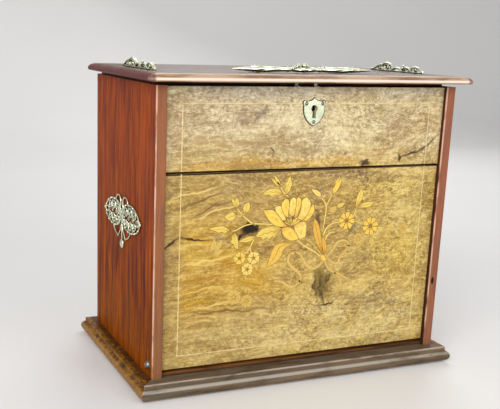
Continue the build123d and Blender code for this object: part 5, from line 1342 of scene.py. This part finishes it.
# %% Handle
pivot_low, pivot_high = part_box("handle_pivots")
pivot_y = (pivot_low.y + pivot_high.y) / 2
bail_z = (pivot_low.z + pivot_high.z) / 2
bail_y = case_front + 30 * MM
PROFILE = [(0, 2.8), (8, 2.6), (12, 2.1), (14.5, 1.8), (16.5, 2.2), (18.5, 2.6), (20.5, 2.1), (24, 2.1),
           (32, 2.5), (40, 2.8), (48, 2.85), (56, 2.6), (64, 2.1), (71, 1.5), (77, 0.9), (81, 0.4)]
HALF_BAR = PROFILE[-1][0]
AROUND = 32
BAR_RINGS = 180
BOSS_X = -2.8  # the boss stands a little left of the middle
BOSS_BALLS = [(-7.6, 1.3, 2.2), (-3.1, 3.6, 2.8), (3.1, 3.8, 2.8), (7.6, 1.1, 2.1)]
BOSS_LEAVES = [(-4.6, 2.4, 200, -1.2, 2.4), (4.4, 2.6, -20, 1.2, 2.4), (-9.4, 0.9, 220, -1.0, 1.6),
               (9.2, 0.9, -40, 1.0, 1.6)]
EYE_X = 44.2 * MM
EYE_R = 1.85 * MM


def bar_radius(x):
    """Radius of the bar at x millimetres from its middle."""
    x = abs(x)
    for (x0, r0), (x1, r1) in zip(PROFILE, PROFILE[1:]):
        if x <= x1:
            t = (x - x0) / (x1 - x0)
            return r0 + (r1 - r0) * t * t * (3 - 2 * t)
    return PROFILE[-1][1]


def bar_ring(mesh, x):
    """One ring of the bar, with leaves pressed into the boss and a twist into the swellings."""
    boss = max(0.0, 1 - (abs(x) / 13) ** 4)
    swell = math.exp(-((abs(x) - 44) / 15) ** 2)
    ring = []
    for a in circle(AROUND):
        leaf = boss * 0.08 * math.cos(8 * a) * math.cos(x * 0.55)
        twist = swell * 0.07 * math.cos(6 * a + x * 0.35)
        r = bar_radius(x) * (1 + leaf + twist)
        ring.append(mesh.verts.new((x * MM, bail_y + r * math.cos(a) * MM, bail_z + r * math.sin(a) * MM)))
    return ring


handle = bmesh.new()
bar = [bar_ring(handle, -HALF_BAR + 2 * HALF_BAR * i / BAR_RINGS) for i in range(BAR_RINGS + 1)]
handle.faces.new(bar[0])
for ring, following in zip(bar, bar[1:]):
    for k in range(AROUND):
        m = (k + 1) % AROUND
        handle.faces.new((ring[k], following[k], following[m], ring[m]))
handle.faces.new(list(reversed(bar[-1])))
for across, rise, radius in BOSS_BALLS:
    place = Vector(((BOSS_X + across) * MM, bail_y, bail_z + rise * MM))
    cast_ball(handle, place, radius * 0.96 * MM, (1, 0.9, 1), 16)
for across, rise, start, turns, outer in BOSS_LEAVES:
    for front in (-1, 1):
        curl = [Vector(((BOSS_X + x) * MM, bail_y + front * 2.3 * MM, bail_z + z * MM))
                for x, z in spiral(across, rise, start, turns, outer, 0.6)]
        cast_rod(handle, curl, [(0.75 - 0.04 * i) * MM for i in range(len(curl))], sides=6, steps=2)

# %% [markdown]
# Two arms run back from the swellings to eyes that turn on the pivots. Each has a small ball
# on its way, and a ring of metal makes its eye.

# %% Arms of the handle
for side in (-1, 1):
    arm = [(EYE_X, pivot_y - 2 * MM), (EYE_X, pivot_y - 9 * MM), (EYE_X, bail_y + 18 * MM),
           (EYE_X + 4 * MM, bail_y + 7 * MM), (EYE_X + 16 * MM, bail_y + 0.6 * MM)]
    cast_rod(handle, [Vector((side * x, y, bail_z)) for x, y in arm],
             [radius * MM for radius in (2.0, 1.7, 1.9, 1.9, 1.4)], sides=12)
    cast_ball(handle, Vector((side * EYE_X, bail_y + 18 * MM, bail_z)), 2.4 * MM, (1, 0.7, 1), 14)
    eye = [Vector((side * EYE_X, pivot_y + EYE_R * math.cos(a), bail_z + EYE_R * math.sin(a)))
           for a in circle(16, closed=True)]
    cast_rod(handle, eye, [0.82 * MM] * len(eye), sides=10, steps=2)
settle(handle, "cast_handle", "handle", brass, ["handle_bail"], True)

# %% [markdown]
# ## Slotted screws
# Screws of this age are hand finished, with a shallow dome and a narrow slot that stops at no
# set angle. The tree turns each one by its own amount. There are sets on the hinges, on the
# link plate, on the lock and on the bolt, each riding on the body that it is driven into.

# %% Screws
SCREW_R = 1.9 * MM
HINGE_SINK = 0.35 * MM  # depth of a head's middle below the hinge's leaf
FACE_SINK = 0.7 * MM  # the same for the lock and the bolt, below their screws' tops
HINGE_REACH = 14 * MM  # from the middle of a hinge to its outer screws
LINK_REACH = 23.5 * MM  # from the middle of the link plate to its screws
SCREW = {"Head": SCREW_R, "Slot": 0.5 * MM, "Finish": brass}
UP, DOWN, INWARD = (0, 0, 1), (0, 0, -1), (0, 1, 0)


def corner_heads(node):
    """Points for four heads in the corners of a node's box, facing into the case."""
    low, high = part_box(node)
    return [(Vector((x, high.y - FACE_SINK, z)), INWARD, 1.0)
            for x in (low.x + SCREW_R, high.x - SCREW_R) for z in (low.z + SCREW_R, high.z - SCREW_R)]


hinge_low, hinge_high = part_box("hinge_case_screws")
screw_y = (hinge_low.y + hinge_high.y) / 2
hinge_mid = hinge_high.x - 1.0 * MM - HINGE_REACH
on_joint = [Vector((side * (hinge_mid + step), screw_y, lid_low))
            for side in (-1, 1) for step in (-HINGE_REACH, HINGE_REACH)]
places = [(p - Vector((0, 0, HINGE_SINK)), UP, 1.0) for p in on_joint]
adopt(grow(screws, places, Dome=0.5 * MM, **SCREW),
      "case_hinge_screws", "case", brass, ["hinge_case_screws"])
places = [(p + Vector((0, 0, HINGE_SINK)), DOWN, 1.0) for p in on_joint]
link_low, link_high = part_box("lid_link_screws")
link_y = (link_low.y + link_high.y) / 2
places += [(Vector((x, link_y, lid_edge + 0.2 * MM)), DOWN, 1.0) for x in (-LINK_REACH, LINK_REACH)]
adopt(grow(screws, places, Dome=0.5 * MM, **SCREW),
      "lid_screws", "lid", brass, ["hinge_lid_screws", "lid_link_screws"])
places = corner_heads("lock_screws") + corner_heads("flush_bolt_screws")
adopt(grow(screws, places, Dome=0.7 * MM, **SCREW),
      "lock_screw_heads", "case", brass, ["lock_screws", "flush_bolt_screws"])

# %% [markdown]
# ## Painted shade round the fittings
# A dark line of painted shade lies round the keyhole plate and round the heads of the screws
# that the fall turns on. Each line is a copy of the solid's own mesh, a little enlarged and
# laid almost flat on the wood. The pins of the keyhole plate, the link plate and those screws
# are steel, unlike the brass round them.

# %% Dark lines and steel fittings
def swell_out(value, middle, share):
    """A coordinate carried away from a middle."""
    return middle + (value - middle) * share


# painted shade: a dark line round the keyhole plate
keyhole_shade = nodes["escutcheon"].data.copy()
low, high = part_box("escutcheon")
middle = (low + high) / 2
for vert in keyhole_shade.vertices:
    vert.co.x = swell_out(vert.co.x, middle.x, 1.085)
    vert.co.z = swell_out(vert.co.z, middle.z, 1.07)
    vert.co.y = panel_face + (vert.co.y - high.y) * 0.2
adopt(keyhole_shade, "keyhole_plate_shadow", "case", glue_and_shade_finish)
# painted shade: a dark ring round the heads of the pivot screws
ring = nodes["pivot_screws"].data.copy()
low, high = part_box("pivot_screws")
middle = (low + high) / 2
for vert in ring.vertices:
    side = math.copysign(1.0, vert.co.x)
    vert.co.x = side * (side_out + 0.3 * max(abs(vert.co.x) - side_out, -0.4 * MM))
    vert.co.y = swell_out(vert.co.y, middle.y, 1.18)
    vert.co.z = swell_out(vert.co.z, middle.z, 1.18)
adopt(ring, "pivot_screw_shadow", "case", glue_and_shade_finish)
for node in ("lid_link_plate", "escutcheon_pins", "pivot_screws"):
    nodes[node].data.materials[0] = steel

# %% [markdown]
# ## Tooling on the leather
# The leather inside the fall has the usual gilt border, pressed in with a hot wheel: two fine
# lines and a row of small ornaments between them. The ornaments are pearls from the tree above,
# sunk most of the way into the leather, and the lines are thin raised strips.

# %% Gilt border
gilt, tree, surface, place = new_finish("worn_gilt")
rubbed = spread(tree, noise(tree, place, 160.0, 4.0, 0.7), 0.44, 0.56)
fill(tree, surface, {"Base Color": mix(tree, rubbed, (0.55, 0.36, 0.10, 1), (0.12, 0.11, 0.045, 1)),
                     "Metallic": spread(tree, rubbed, 0.0, 1.0, 0.85, 0.1),
                     "Roughness": spread(tree, rubbed, 0.0, 1.0, 0.32, 0.55)})
skiver_low, skiver_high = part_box("fall_leather")
skiver_y = skiver_high.y


def inset_box(inset):
    """Left, right, low and high sides of a frame that lies in from the leather's edge."""
    return (skiver_low.x + inset, skiver_high.x - inset, skiver_low.z + inset, skiver_high.z - inset)


border = bmesh.new()
for inset, width in ((6.0 * MM, 0.7 * MM), (11.0 * MM, 0.4 * MM)):
    loops = []
    for x0, x1, z0, z1 in (inset_box(inset), inset_box(inset + width)):
        loops.append([(x0, z0), (x1, z0), (x1, z1), (x0, z1)])
    levels = [[[border.verts.new((x, y, z)) for x, z in loop] for loop in loops]
              for y in (skiver_y - 0.1 * MM, skiver_y + 0.06 * MM)]
    (o0, i0), (o1, i1) = levels
    for k in range(4):
        m = (k + 1) % 4
        border.faces.new((o1[m], o1[k], i1[k], i1[m]))
        border.faces.new((o0[k], o0[m], i0[m], i0[k]))
        border.faces.new((o0[m], o0[k], o1[k], o1[m]))
        border.faces.new((i0[k], i0[m], i1[m], i1[k]))
settle(border, "leather_lines", "fall", gilt)

ORNAMENT_STEP = 3.6 * MM
ornaments = []
x0, x1, z0, z1 = inset_box(8.8 * MM)
for low, high, fixed, standing in ((x0, x1, z0, 0), (x0, x1, z1, 0), (z0, z1, x0, 1), (z0, z1, x1, 1)):
    count = round((high - low) / ORNAMENT_STEP)
    for i in range(count + 1 - standing):
        run = low + (high - low) * (i + 0.5 * standing) / count
        x, z = (fixed, run) if standing else (run, fixed)
        ornaments.append((Vector((x, skiver_y - 0.75 * MM, z)), INWARD, 1.0 if i % 2 else 1.15))
adopt(grow(pearls, ornaments, Radius=0.95 * MM, Finish=gilt),
      "leather_ornaments", "fall", gilt)

# %% [markdown]
# ## The studio floor
# The cabinet stands on a pale floor that turns up into the backdrop in one sweep, so that no
# horizon cuts the picture. Neither is part of the cabinet.

# %% Floor and world
paper, tree, surface, place = new_finish("studio_paper")
cloudy = noise(tree, place, 3.0, 2.0)
fill(tree, surface, {"Base Color": mix(tree, cloudy, (0.70, 0.69, 0.67, 1), (0.74, 0.73, 0.71, 1)),
                     "Roughness": 0.6})
floor = bmesh.new()
REACH, BEND_Y, BEND_R, TOP = 4.0, 1.6, 0.8, 3.5
bend = [(BEND_Y + BEND_R * math.sin(a), BEND_R - BEND_R * math.cos(a)) for a in circle(40)[1:11]]
sweep = [(-REACH, 0.0), (BEND_Y, 0.0)] + bend + [(BEND_Y + BEND_R, TOP)]
strips = [[floor.verts.new((x, y, z)) for x in (-REACH, REACH)] for y, z in sweep]
for a, b in zip(strips, strips[1:]):
    floor.faces.new((a[0], a[1], b[1], b[0]))
floor_mesh = bpy.data.meshes.new("studio_floor")
floor.to_mesh(floor_mesh)
floor.free()
floor_mesh.shade_smooth()
floor_mesh.materials.append(paper)
floor_piece = bpy.data.objects.new("studio_floor", floor_mesh)
bpy.context.scene.collection.objects.link(floor_piece)

world = bpy.data.worlds.new("studio")
world.use_nodes = True
tree = world.node_tree
tree.nodes.clear()
ray = tree.nodes.new("ShaderNodeLightPath").outputs
seen = calc(tree, "MAXIMUM", calc(tree, "MAXIMUM", ray["Is Camera Ray"], ray["Is Glossy Ray"]),
            ray["Is Transmission Ray"])
sky = put(tree, "ShaderNodeBackground",
          {"Color": (0.96, 0.97, 1.0, 1), "Strength": mix_values(tree, seen, 0.55, 0.85)})
put(tree, "ShaderNodeOutputWorld", {"Surface": sky.outputs[0]})
bpy.context.scene.world = world
bpy.context.scene.view_settings.view_transform = "Standard"
